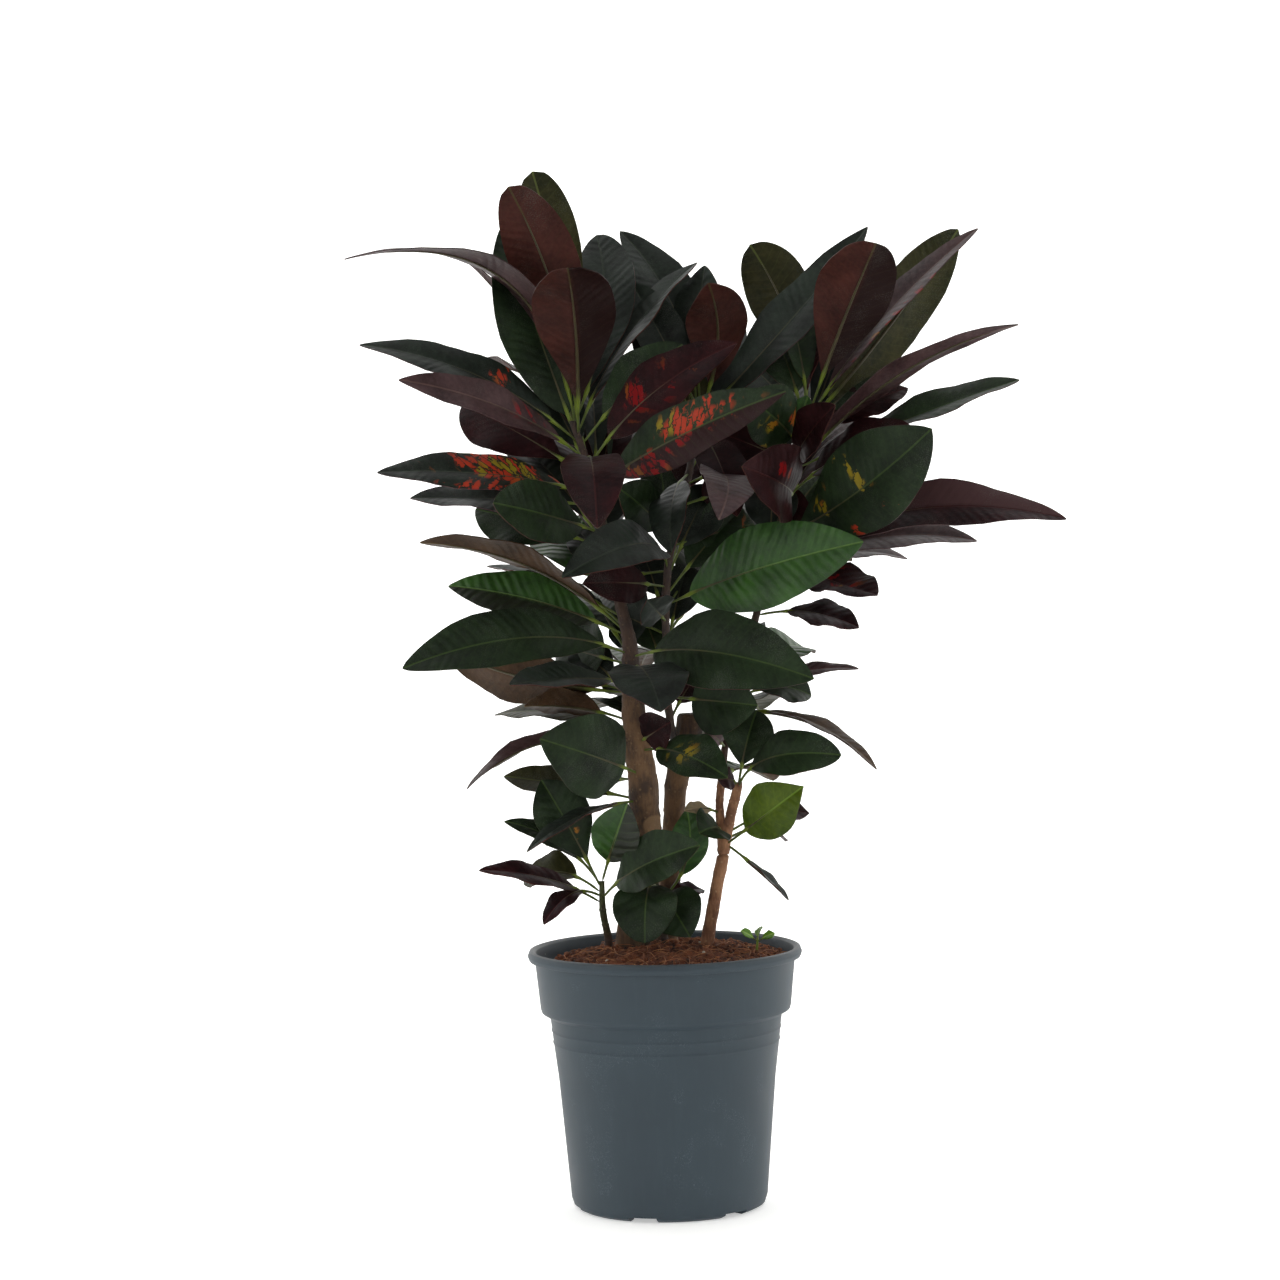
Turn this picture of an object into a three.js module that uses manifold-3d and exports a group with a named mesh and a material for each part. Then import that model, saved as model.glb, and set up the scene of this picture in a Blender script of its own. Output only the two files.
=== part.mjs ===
// A potted croton: a round nursery pot full of peat, two bare trunks and a cane that stand in it,
// and the leafy stems that grow on from them. Millimetres, +Z up, the front of the plant faces -Y.
// The origin is the centre of the pot's underside.
import * as THREE from "three";
import { mergeVertices } from "three/addons/utils/BufferGeometryUtils.js";
import Module from "manifold-3d";

// Pot
const rimRadius = 105;
const potHeight = 199;
const potWall = 1.8;
const potSegments = 26;
const footChannelHeight = 5;
const drainHoleRadius = 5;
const drainHoleCircle = 50;
const drainHoleCount = 8;
const footNotchWidth = 22;
const footNotchHeight = 4;
const footNotchCount = 6;

// Soil
const soilGap = 0.4;
const soilEdgeHeight = 189;
const soilMoundRise = 11;
const soilSegments = potSegments;
const soilLumpCount = 4;

// Stems
const stemGap = 0.35;
const trunkSides = 10;
const twigSides = 6;

// Leaves
const leafThickness = 0.9;
const petioleLength = 26;
const petioleRadius = 1.5;
const seedlingStalkRadius = 0.6;
const bladeStations = [0, 0.2, 0.48, 0.78, 1];
const plainStations = [0, 0.3, 0.68, 1];
const plainWidth = 40;

const wasm = await Module();
wasm.setup();

// ---------- small helpers ----------

// A repeatable number from 0 to 1 for a pair of whole numbers.
function draw(first, second) {
  const mixed = Math.sin(first * 12.9898 + second * 78.233) * 43758.5453;
  return mixed - Math.floor(mixed);
}

function vector(values) {
  return new THREE.Vector3(values[0], values[1], values[2]);
}

// A closed body through rings of points, with a flat fan at either end.
function loft(rings, mirroredFrom = rings[0].length) {
  const count = rings[0].length;
  const positions = [];
  const index = [];
  for (const ring of rings) {
    for (const point of ring) {
      positions.push(point.x, point.y, point.z);
    }
  }
  for (let ring = 0; ring + 1 < rings.length; ring += 1) {
    for (let side = 0; side < count; side += 1) {
      const a = ring * count + side;
      const b = ring * count + ((side + 1) % count);
      if (side < mirroredFrom) {
        index.push(a, b, b + count, a, b + count, a + count);
      } else {
        index.push(a, b, a + count, b, b + count, a + count);
      }
    }
  }
  const last = (rings.length - 1) * count;
  for (let side = 1; side + 1 < count; side += 1) {
    index.push(0, side + 1, side);
    index.push(last, last + side, last + side + 1);
  }
  const geometry = new THREE.BufferGeometry();
  geometry.setAttribute("position", new THREE.Float32BufferAttribute(positions, 3));
  geometry.setIndex(index);
  return geometry;
}

// A solid from a closed geometry. The triangles that fold up where a turned shape meets its axis
// are left out.
function toSolid(geometry) {
  const bare = geometry.clone();
  bare.deleteAttribute("normal");
  bare.deleteAttribute("uv");
  const merged = mergeVertices(bare, 1e-4);
  const corners = merged.index.array;
  const triangles = [];
  for (let at = 0; at < corners.length; at += 3) {
    const [a, b, c] = corners.slice(at, at + 3);
    if (a !== b && b !== c && c !== a) {
      triangles.push(a, b, c);
    }
  }
  return new wasm.Manifold(
    new wasm.Mesh({
      numProp: 3,
      vertProperties: new Float32Array(merged.attributes.position.array),
      triVerts: new Uint32Array(triangles),
    }),
  );
}

function toGeometry(solid) {
  const mesh = solid.getMesh();
  const geometry = new THREE.BufferGeometry();
  geometry.setAttribute("position", new THREE.Float32BufferAttribute(mesh.vertProperties, 3));
  geometry.setIndex(new THREE.Uint32BufferAttribute(mesh.triVerts, 1));
  geometry.computeVertexNormals();
  return geometry;
}

// The outer skin of the largest body, which drops loose scraps and fills sealed hollows.
function largestBody(solid) {
  const pieces = solid.decompose();
  pieces.sort((a, b) => b.volume() - a.volume());
  return pieces[0];
}

function joinAll(solids) {
  let joined = solids[0];
  for (const solid of solids.slice(1)) {
    joined = joined.add(solid);
  }
  return joined;
}

// ---------- stems ----------

// A stem is a list of stations from the root up: x, y, z, radius.
function stemPoint(stem, height) {
  let upper = 1;
  while (upper + 1 < stem.length && stem[upper][2] < height) {
    upper += 1;
  }
  const low = stem[upper - 1];
  const high = stem[upper];
  const share = Math.min(1, Math.max(0, (height - low[2]) / (high[2] - low[2])));
  return vector(low).lerp(vector(high), share);
}

// Where a leaf is rooted: inside the stem, a millimetre off its middle on the leaf's own side.
function rootTowards(stem, height, tip) {
  const middle = stemPoint(stem, height);
  const outward = tip.clone().sub(middle).setZ(0).normalize();
  return middle.addScaledVector(outward, 1);
}

// A round stem with level rings, swollen a little at every station. Extra widens and deepens it
// for a hole.
function stemSolid(stem, sides, extra = 0) {
  const rings = stem.map(([x, y, z, radius], station) => {
    const level = station === 0 ? z - extra : z;
    const ring = [];
    for (let side = 0; side < sides; side += 1) {
      const angle = (side / sides) * Math.PI * 2;
      const bump = 1 + 0.08 * (draw(station + 3, side + 5) - 0.5);
      const reach = radius * bump + extra;
      ring.push(new THREE.Vector3(x + Math.cos(angle) * reach, y + Math.sin(angle) * reach, level));
    }
    return ring;
  });
  return toSolid(loft(rings));
}

// ---------- leaves ----------

// The way the upper face of a leaf looks. A turn of 0 shows that face to the front, 90 to the sky
// and 180 turns the underside to the front.
function frontNormal(along, turn) {
  const front = new THREE.Vector3(0, -1, 0);
  const facing = front.clone().addScaledVector(along, -front.dot(along)).normalize();
  const skyward = new THREE.Vector3().crossVectors(along, facing);
  if (skyward.z < 0) {
    skyward.negate();
  }
  const angle = THREE.MathUtils.degToRad(turn);
  return facing.multiplyScalar(Math.cos(angle)).addScaledVector(skyward, Math.sin(angle));
}

// The same for a leaf whose upper face looks at the sky, rolled about its own length.
function skyNormal(along, roll) {
  const sky = new THREE.Vector3(0, 0, 1);
  const facing = sky.clone().addScaledVector(along, -sky.dot(along)).normalize();
  return facing.applyAxisAngle(along, THREE.MathUtils.degToRad(roll));
}

// Half the width of a blade along its length, as a share: a lance that is widest at its belly.
function outline(share, belly) {
  const lean = Math.log(0.5) / Math.log(belly);
  return Math.pow(Math.max(0, Math.sin(Math.PI * Math.pow(share, lean))), 0.75);
}

// A leaf is a thin closed body: a petiole from the middle of the stem, and a folded, waved blade.
function leafSolid(leaf) {
  const stalkRadius = leaf.stalkRadius ?? petioleRadius;
  const along = leaf.tip.clone().sub(leaf.root);
  const length = along.length();
  along.normalize();
  const across = new THREE.Vector3().crossVectors(along, leaf.normal).normalize();
  const petioleShare = Math.min(0.3, petioleLength / length);
  const stations = leaf.isPlain ? plainStations : bladeStations;
  const shares = [0, ...stations.map((s) => petioleShare + (1 - petioleShare) * s)];
  const rings = shares.map((share, station) => {
    const blade = Math.max(0, (share - petioleShare) / (1 - petioleShare));
    const bulge = 4 * share * (1 - share);
    const slope = 4 * (1 - 2 * share);
    const middle = leaf.root.clone()
      .addScaledVector(along, length * share)
      .addScaledVector(leaf.normal, leaf.arch * bulge)
      .addScaledVector(across, leaf.sway * bulge);
    const tangent = along.clone().multiplyScalar(length)
      .addScaledVector(leaf.normal, leaf.arch * slope)
      .addScaledVector(across, leaf.sway * slope)
      .normalize();
    const twist = THREE.MathUtils.degToRad(leaf.twist * (blade - 0.4));
    const side = across.clone().addScaledVector(tangent, -across.dot(tangent)).normalize()
      .applyAxisAngle(tangent, twist);
    const up = new THREE.Vector3().crossVectors(side, tangent).normalize();
    const isPetiole = station < 2;
    const half = isPetiole ? stalkRadius : Math.max(0.8, leaf.width * 0.5 * outline(blade, leaf.belly));
    const thick = isPetiole ? stalkRadius * 1.7 : leafThickness;
    const lift = leaf.fold * half;
    const wave = isPetiole ? 0 : leaf.wave * half;
    const leftRise = lift + wave * Math.sin(blade * 15 + leaf.phase);
    const rightRise = lift + wave * Math.sin(blade * 15 + leaf.phase + 2);
    const at = (reach, rise) => middle.clone().addScaledVector(side, reach).addScaledVector(up, rise);
    return [
      at(-half, leftRise + thick / 2),
      at(0, thick / 2),
      at(half, rightRise + thick / 2),
      at(half, rightRise - thick / 2),
      at(0, -thick / 2),
      at(-half, leftRise - thick / 2),
    ];
  });
  return toSolid(loft(rings, 3));
}

// One placed leaf from a row: name, height of its root on the stem, tip x, y, z, blade width,
// turn, arch, sway and belly. Arch bows it towards its upper face, sway bows it sideways, and belly
// is where along the blade it is widest.
function placedLeaf(stem, row, number) {
  const [name, height, x, y, z, width, turn, arch, sway, belly] = row;
  const tip = new THREE.Vector3(x, y, z);
  const root = rootTowards(stem, height, tip);
  const along = tip.clone().sub(root).normalize();
  return {
    name,
    root,
    tip,
    normal: frontNormal(along, turn),
    width,
    arch,
    sway,
    belly,
    isPlain: width < plainWidth,
    ...leafHabit(number),
  };
}

function innerLeaf(stem, row, number) {
  return { ...placedLeaf(stem, row, number), isPlain: true };
}

// How much a leaf folds along its midrib, waves along its edges and twists towards its tip.
function leafHabit(number) {
  return {
    fold: 0.1 + 0.16 * draw(number, 1),
    wave: 0.05 + 0.05 * draw(number, 2),
    phase: 6.28 * draw(number, 3),
    twist: 30 * (draw(number, 4) - 0.5),
  };
}

// The leaves round the back of a stem, set by the golden angle between two heights.
function backLeaves(stem, rule, seed) {
  const leaves = [];
  for (let number = 0; number < rule.count; number += 1) {
    const share = (number + 0.5) / rule.count;
    const height = rule.low + (rule.high - rule.low) * share;
    const bearing = THREE.MathUtils.degToRad(rule.from + ((number * 137.508 + seed * 40) % rule.sweep));
    const rise = THREE.MathUtils.degToRad(
      rule.lowRise + (rule.highRise - rule.lowRise) * share + 16 * (draw(seed, number) - 0.5),
    );
    const length = rule.lowLength + (rule.highLength - rule.lowLength) * share;
    const reach = length * (0.88 + 0.24 * draw(seed + 1, number));
    const along = new THREE.Vector3(
      Math.cos(rise) * Math.cos(bearing),
      Math.cos(rise) * Math.sin(bearing),
      Math.sin(rise),
    );
    const tip = stemPoint(stem, height).addScaledVector(along, reach);
    leaves.push({
      name: `back${seed}_${number}`,
      root: rootTowards(stem, height, tip),
      tip,
      normal: skyNormal(along, 50 * (draw(seed + 2, number) - 0.5)),
      width: rule.width * (0.85 + 0.3 * draw(seed + 3, number)),
      arch: reach * 0.13,
      sway: 16 * (draw(seed + 4, number) - 0.5),
      belly: 0.48 + 0.14 * draw(seed + 5, number),
      isPlain: true,
      ...leafHabit(seed * 100 + number),
    });
  }
  return leaves;
}

// ---------- where the stems and leaves stand ----------

const leftTrunk = [
  [-31, 22, 120, 11],
  [-27, 20, 180, 14],
  [-24, 17, 204, 14],
  [-17, 8, 245, 12.5],
  [-13, 0, 285, 12.5],
];

const leftStem = [
  [-13, 0, 285.4, 12.3],
  [-14, -8, 328, 11.5],
  [-19, -10, 363, 10],
  [-21, -10, 405, 7.5],
  [-22, -10, 435, 5.5],
  [-34, -12, 489, 3.4],
  [-49, -18, 565, 3],
  [-62, -20, 602, 2.6],
];

const centreTrunk = [
  [-1, 46, 120, 7],
  [2, 42, 205, 8.5],
  [8, 31, 286, 8],
  [12, 26, 325, 9],
  [22, 22, 362, 11],
  [25, 22, 376, 10.5],
];

const centreStem = [
  [15, 22, 338, 2.8],
  [8, 11, 366, 3.2],
  [6, 11, 390, 3],
  [6, 14, 464, 3],
  [9, 18, 494, 3],
  [27, 22, 563, 3],
  [36, 25, 618, 2.6],
];

const rightCane = [
  [27, 18, 120, 4.5],
  [33, 15, 202, 5.2],
  [42, 10, 248, 4.9],
  [46.5, 8, 268, 5],
];

const rightStem = [
  [46.6, 8, 268.4, 4.9],
  [46, 9, 280, 4.2],
  [44, 12, 306, 3.2],
  [49, 20, 347, 2.8],
  [58, 28, 385, 2.8],
  [81, 30, 469, 3],
  [103, 15, 548, 3],
  [111, 5, 576, 2.8],
  [120, 0, 612, 2.6],
];

const rightFork = [
  [46.6, 8, 269, 4],
  [52, 5, 296, 4.2],
  [59, 0, 324, 3.6],
];

const leftShootStem = [
  [-42, 12, 150, 2.6],
  [-43, 10, 205, 3],
  [-47, 0, 228, 2.6],
  [-47, -5, 251, 2],
];

const middleShootStem = [
  [1, 11, 150, 2.4],
  [0, 10, 209, 2.6],
  [-1, 0, 231, 2.2],
  [-6, -8, 250, 1.9],
];

const seedlingStem = [
  [70, -12, 170, 1],
  [70, -12, 196, 1],
  [71, -12, 207, 0.9],
];

const leftRows = [
  ["A1", 591, -89, 34, 794, 44, 170, 10, -5, 0.7],
  ["A2", 585, -105, -45, 777, 52, 172, 8, -11, 0.64],
  ["A3", 590, -61, -115, 712, 62, 180, 12, -3, 0.62],
  ["A4", 588, -225, -92, 723, 44, 112, 66, 0, 0.38],
  ["A5", 580, -122, 70, 729, 42, 160, 8, 0, 0.68],
  ["A5b", 572, -146, 20, 731, 24, 108, 16, 0, 0.5],
  ["A6", 582, -112, 14, 752, 60, 15, 8, -4, 0.46],
  ["A8", 585, -220, -30, 662, 40, 52, 19, 0, 0.42],
  ["A9", 573, -188, -82, 634, 36, 50, 14, 0, 0.48],
  ["A10", 558, -147, 40, 616, 54, 22, 8, 0, 0.6],
  ["A11", 546, -207, -60, 566, 44, 52, 9, 0, 0.45],
  ["A12", 538, -185, -25, 546, 40, 58, 2, 0, 0.5],
  ["A13", 570, -43, -155, 523, 48, 10, 22, 0, 0.5],
  ["L1", 516, -120, -95, 542, 50, 32, 4, 0, 0.5],
  ["A16", 505, -138, 25, 536, 52, 30, 4, 0, 0.58],
  ["B7", 568, 63, -44, 657, 48, 35, 14, -4, 0.45],
  ["B8", 551, 96, -116, 619, 46, 25, 14, 0, 0.45],
  ["B1", 599, -41, 66, 746, 52, 20, 6, 16, 0.6],
  ["B4", 592, 36, 44, 722, 38, 56, 10, -5, 0.5],
  ["B6", 584, 23, -6, 658, 44, 30, 8, 0, 0.5],
  ["A17", 440, -180, 0, 512, 44, 110, 18, 0, 0.5],
  ["A18", 452, -132, 66, 491, 34, 74, 6, 0, 0.5],
  ["A19", 438, -158, -20, 479, 46, 38, 12, 0, 0.5],
  ["A20", 424, -190, -86, 421, 50, 38, 30, 0, 0.52],
  ["A21", 395, -168, 40, 430, 58, 150, -14, 0, 0.56],
  ["A22", 366, -129, 78, 374, 34, 70, 8, 0, 0.5],
  ["A23", 402, -110, -120, 409, 36, 64, 5, 0, 0.5],
  ["A24", 395, -102, 50, 399, 36, 70, 6, 0, 0.5],
  ["A25", 372, -103, -8, 386, 38, 125, 6, 0, 0.5],
  ["A26", 332, -90, -75, 366, 64, 12, 12, 0, 0.45],
  ["A27", 352, -148, -10, 324, 44, 108, 22, 0, 0.5],
  ["A28", 312, -121, 25, 330, 38, 55, 2, 0, 0.5],
  ["A29", 328, -56, 62, 314, 30, 60, 6, 0, 0.5],
  ["A31", 312, -101, -84, 283, 24, 78, 9, 0, 0.4],
  ["M2", 422, 114, -85, 407, 64, 28, 26, 0, 0.45],
  ["M3", 412, 0, -130, 388, 60, 40, 14, 0, 0.5],
  ["R1", 350, 49, -75, 334, 42, 45, 12, 0, 0.48],
];

const centreRows = [
  ["L2", 488, -70, -132, 487, 44, 46, 30, 0, 0.5],
  ["M1", 460, 154, -60, 507, 66, 22, 20, 2, 0.48],
  ["M12", 508, -28, -58, 551, 38, 30, 6, 0, 0.6],
  ["M11", 560, 11, -80, 502, 34, 40, 12, 0, 0.5],
  ["M10", 552, 45, -132, 527, 42, 55, 22, -12, 0.5],
  ["M9", 594, 60, -62, 528, 38, 20, 14, 0, 0.5],
  ["B2", 606, -23, 90, 750, 44, 25, 12, 11, 0.5],
  ["B3b", 614, 42, 48, 720, 42, 30, 6, 0, 0.5],
  ["B5", 600, 43, -25, 703, 48, 165, 10, -14, 0.58],
  ["C2", 600, 166, 15, 745, 44, 40, 8, 10, 0.45],
];

const rightRows = [
  ["C1", 602, 78, 78, 737, 52, 160, 10, -8, 0.68],
  ["C3", 604, 103, 42, 699, 32, 30, 4, 0, 0.5],
  ["C4", 606, 167, -65, 728, 58, 175, 12, 0, 0.6],
  ["C5", 600, 250, 15, 742, 34, 60, 10, 0, 0.5],
  ["C6", 596, 238, 50, 744, 56, 150, 6, -8, 0.52],
  ["C7", 562, 272, -60, 666, 32, 120, 20, 0, 0.42],
  ["C8", 562, 279, 6, 626, 42, 65, 4, 0, 0.6],
  ["C9", 541, 193, -24, 593, 48, 60, 8, 0, 0.5],
  ["C10", 558, 134, -78, 609, 36, 50, 8, 0, 0.5],
  ["C12", 584, 116, -34, 617, 24, 30, 5, 0, 0.5],
  ["C14", 576, 68, -58, 618, 50, 20, 10, 0, 0.55],
  ["C11", 590, 184, 58, 648, 36, 20, 5, 0, 0.5],
  ["M4", 450, 153, 0, 440, 42, 66, 8, 0, 0.5],
  ["M5", 495, 165, -40, 466, 52, 60, -2, 0, 0.5],
  ["N1", 492, 310, -20, 520, 50, 48, 32, 0, 0.5],
  ["N2", 480, 245, 10, 504, 44, 60, 18, 0, 0.5],
  ["N3", 480, 193, 30, 491, 36, 70, 12, 0, 0.5],
  ["M7", 508, 204, -90, 590, 70, 15, 8, 8, 0.58],
  ["M8", 540, 63, -110, 565, 58, 22, 16, 0, 0.5],
  ["Mm", 388, 151, -20, 410, 22, 72, 8, 0, 0.5],
  ["R14", 385, 117, 30, 387, 38, 50, 12, 0, 0.55],
  ["R9", 376, 162, -40, 335, 26, 78, 15, 0, 0.5],
  ["R11", 284, 28, -24, 288, 34, 60, 6, 0, 0.5],
];

const forkRows = [
  ["R3", 320, 135, -50, 347, 38, 40, 25, 0, 0.55],
  ["R2", 318, 74, 5, 378, 42, 20, 6, 0, 0.6],
  ["R4", 276, 107, -35, 323, 44, 20, 8, 2, 0.5],
  ["R5", 285, 113, 10, 298, 36, 60, 8, 0, 0.5],
  ["R6", 280, 95, 30, 275, 36, 70, 10, 0, 0.5],
  ["R7", 276, 95, -10, 234, 14, 78, 2, 0, 0.5],
  ["R8", 322, 43, -10, 327, 20, 40, 4, 0, 0.5],
];

// Leaves deeper in the crowns, mostly hidden behind those above.
const leftInnerRows = [
  ["N5", 356, 8, -38, 374, 32, 10, 4, 0, 0.5],
  ["N6", 416, -78, 55, 428, 56, 10, 5, 0, 0.4],
  ["N7", 560, -10, 45, 590, 36, 10, 5, 0, 0.5],
];

const centreInnerRows = [
  ["M6", 474, -56, -52, 480, 34, 20, 6, 0, 0.45],
  ["N4", 438, -34, 44, 456, 48, 0, 4, 0, 0.36],
  ["M13", 486, -45, 50, 478, 40, 10, 6, 0, 0.5],
  ["M14", 390, 74, -22, 384, 52, 5, 6, 0, 0.42],
  ["M15", 505, 76, 45, 520, 52, 10, 6, 0, 0.45],
  ["M16", 536, 62, 62, 546, 44, 10, 6, 0, 0.45],
  ["B3", 598, -10, 55, 690, 40, 10, 6, 0, 0.5],
  ["M19", 448, -8, -30, 466, 32, 5, 3, 0, 0.5],
];

const rightInnerRows = [
  ["C13", 566, 52, 30, 590, 38, 10, 5, 0, 0.5],
  ["C15", 596, 68, 78, 652, 46, 10, 6, 0, 0.5],
  ["R12", 350, 34, -12, 367, 26, 10, 3, 0, 0.5],
  ["M18", 516, 134, 70, 560, 46, 10, 5, 0, 0.45],
  ["R13", 300, 17, -10, 304, 15, 60, 3, 0, 0.5],
];

const leftShootRows = [
  ["A30", 246, -91, -25, 331, 44, 15, 6, 0, 0.6],
  ["A32", 248, -120, -15, 299, 24, 58, 12, 0, 0.5],
  ["A33", 242, -107, 12, 249, 40, 56, 15, 0, 0.5],
  ["A34", 234, -138, -60, 267, 28, 68, 8, 0, 0.5],
  ["A35", 239, -91, -40, 223, 22, 62, 14, 0, 0.55],
  ["A36", 251, -26, -48, 314, 38, 10, 5, 0, 0.5],
  ["A37", 238, 27, -74, 284, 44, 40, 12, 0, 0.5],
];

const middleShootRows = [
  ["A38", 246, -15, -60, 210, 50, 20, 20, 0, 0.5],
  ["A39", 246, 19, -55, 213, 44, 10, 10, 0, 0.5],
  ["A40", 236, 19, 2, 304, 30, 15, 6, 12, 0.55],
  ["A41", 228, 31, 15, 240, 26, 60, 6, 0, 0.5],
];

const seedlingRows = [
  ["W1", 205, 58, -17, 218, 9, 60, 1, 0, 0.6],
  ["W2", 205, 84, -14, 215, 9, 60, 1, 0, 0.6],
  ["W3", 206, 74, -2, 219, 8, 60, 1, 0, 0.6],
];

const leftBack = {
  count: 13,
  low: 330,
  high: 596,
  from: 84,
  sweep: 52,
  lowRise: -4,
  highRise: 46,
  lowLength: 125,
  highLength: 175,
  width: 48,
};

const centreBack = {
  count: 9,
  low: 400,
  high: 606,
  from: 62,
  sweep: 43,
  lowRise: 0,
  highRise: 52,
  lowLength: 130,
  highLength: 165,
  width: 46,
};

const rightBack = {
  count: 13,
  low: 310,
  high: 604,
  from: 46,
  sweep: 52,
  lowRise: -6,
  highRise: 46,
  lowLength: 92,
  highLength: 170,
  width: 48,
};

const groups = {
  left_leafy_stem: {
    color: 0x33291f,
    stem: leftStem,
    leaves: [
      ...leftRows.map((row, number) => placedLeaf(leftStem, row, number)),
      ...leftInnerRows.map((row, number) => innerLeaf(leftStem, row, number + 50)),
      ...backLeaves(leftStem, leftBack, 1),
    ],
  },
  centre_leafy_stem: {
    color: 0x28382a,
    stem: centreStem,
    leaves: [
      ...centreRows.map((row, number) => placedLeaf(centreStem, row, number + 100)),
      ...centreInnerRows.map((row, number) => innerLeaf(centreStem, row, number + 150)),
      ...backLeaves(centreStem, centreBack, 2),
    ],
  },
  right_leafy_stem: {
    color: 0x3c2c28,
    stem: rightStem,
    fork: rightFork,
    leaves: [
      ...rightRows.map((row, number) => placedLeaf(rightStem, row, number + 200)),
      ...forkRows.map((row, number) => placedLeaf(rightFork, row, number + 300)),
      ...rightInnerRows.map((row, number) => innerLeaf(rightStem, row, number + 250)),
      ...backLeaves(rightStem, rightBack, 3),
    ],
  },
  left_shoot: {
    color: 0x2c3c22,
    stem: leftShootStem,
    leaves: leftShootRows.map((row, number) => placedLeaf(leftShootStem, row, number + 400)),
  },
  middle_shoot: {
    color: 0x24361f,
    stem: middleShootStem,
    leaves: middleShootRows.map((row, number) => placedLeaf(middleShootStem, row, number + 500)),
  },
  seedling: {
    color: 0x4f7a2a,
    stem: seedlingStem,
    leaves: seedlingRows.map((row, number) => ({
      ...placedLeaf(seedlingStem, row, number + 600),
      root: stemPoint(seedlingStem, row[1]),
      stalkRadius: seedlingStalkRadius,
    })),
  },
};

// ---------- the pot and its soil ----------

// Half section of the pot, from the middle of the underside, round the lip, to the inner floor.
const potProfile = [
  [0, 0],
  [22, 0],
  [24, footChannelHeight],
  [57, footChannelHeight],
  [59.5, 0],
  [68, 0],
  [73.2, 2.6],
  [75.2, 9],
  [83, 100],
  [86.3, 126.6],
  [87.1, 128],
  [86.6, 129.4],
  [87.3, 135.8],
  [88.1, 137.2],
  [87.6, 138.6],
  [88.8, 147.6],
  [95, 151.2],
  [95.9, 154.4],
  [rimRadius - 5.5, potHeight - 8.4],
  [rimRadius - 1.2, potHeight - 8],
  [rimRadius, potHeight - 4.5],
  [rimRadius - 1.4, potHeight - 0.7],
  [rimRadius - 3.6, potHeight],
  [rimRadius - 6.4, potHeight - 1.8],
  [97.6, 190],
  [94.1, 155.2],
  [93.3, 153],
  [87.2, 149.6],
  [87, 147.6],
  [83 - potWall, 100],
  [75.2 - potWall, 9.6],
  [70.5, footChannelHeight + potWall],
  [0, footChannelHeight + potWall],
];

// Half section of the soil: the inside of the pot less a small gap, then the rings of its surface.
const soilProfile = [
  [0, footChannelHeight + potWall + soilGap],
  [70.3, footChannelHeight + potWall + soilGap],
  [75.2 - potWall - soilGap, 10],
  [83 - potWall - soilGap, 100],
  [86.5, 150.2],
  [92.9, 153.4],
  [96.2, soilEdgeHeight],
  [82, soilEdgeHeight],
  [62, soilEdgeHeight],
  [36, soilEdgeHeight],
  [0, soilEdgeHeight],
];

// The soil is mounded between the stems, a little lower at the left wall, and uneven.
function soilRise(x, y) {
  const away = Math.min(1, Math.hypot(x, y) / 97);
  const mound = soilMoundRise * (1 - away * away);
  const lowSide = 5 * Math.max(0, -x / 97) * away;
  const uneven = 1.4 * Math.sin(x * 0.13 + 1) * Math.cos(y * 0.11) + 0.9 * Math.sin(x * 0.31 - y * 0.27);
  return mound - lowSide + uneven;
}

function turnedGeometry(profile, segments) {
  const points = profile.map(([radius, height]) => new THREE.Vector2(radius, height));
  const geometry = new THREE.LatheGeometry(points, segments);
  geometry.rotateX(Math.PI / 2);
  return geometry;
}

function potSolid() {
  let solid = toSolid(turnedGeometry(potProfile, potSegments));
  for (let hole = 0; hole < drainHoleCount; hole += 1) {
    const angle = (hole / drainHoleCount) * Math.PI * 2;
    const drill = new THREE.CylinderGeometry(drainHoleRadius, drainHoleRadius, 20, 6);
    drill.rotateX(Math.PI / 2);
    drill.translate(Math.cos(angle) * drainHoleCircle, Math.sin(angle) * drainHoleCircle, 2);
    solid = solid.subtract(toSolid(drill));
  }
  for (let notch = 0; notch < footNotchCount; notch += 1) {
    const cutter = new THREE.BoxGeometry(24, footNotchWidth, footNotchHeight * 2);
    cutter.translate(70, 0, 0);
    cutter.rotateZ(THREE.MathUtils.degToRad(253 + (notch / footNotchCount) * 360));
    solid = solid.subtract(toSolid(cutter));
  }
  return solid;
}

// Bits of bark and peat that stand out of the surface, each well sunk in.
function soilLumps() {
  const lumps = [];
  for (let number = 0; number < soilLumpCount; number += 1) {
    const angle = number * 2.39996;
    const away = 84 * Math.sqrt((number + 0.5) / soilLumpCount);
    const x = Math.cos(angle) * away;
    const y = Math.sin(angle) * away;
    const lump = new THREE.BoxGeometry(6 + 7 * draw(number, 21), 3 + 3 * draw(number, 22), 5);
    lump.rotateX(0.7 * (draw(number, 23) - 0.5));
    lump.rotateZ(6.28 * draw(number, 24));
    lump.translate(x, y, soilEdgeHeight + soilRise(x, y) - 0.6);
    lumps.push(toSolid(lump));
  }
  return lumps;
}

function soilSolid(stems) {
  const geometry = turnedGeometry(soilProfile, soilSegments);
  const spots = geometry.attributes.position;
  for (let spot = 0; spot < spots.count; spot += 1) {
    const x = spots.getX(spot);
    const y = spots.getY(spot);
    if (spots.getZ(spot) > soilEdgeHeight - 0.01) {
      spots.setZ(spot, spots.getZ(spot) + soilRise(x, y));
    }
  }
  let solid = joinAll([toSolid(geometry), ...soilLumps()]);
  for (const stem of stems) {
    solid = solid.subtract(stemSolid(stem, trunkSides, stemGap));
  }
  return solid;
}

// ---------- putting it together ----------

const potted = new THREE.Group();
potted.name = "potted_croton";

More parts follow.
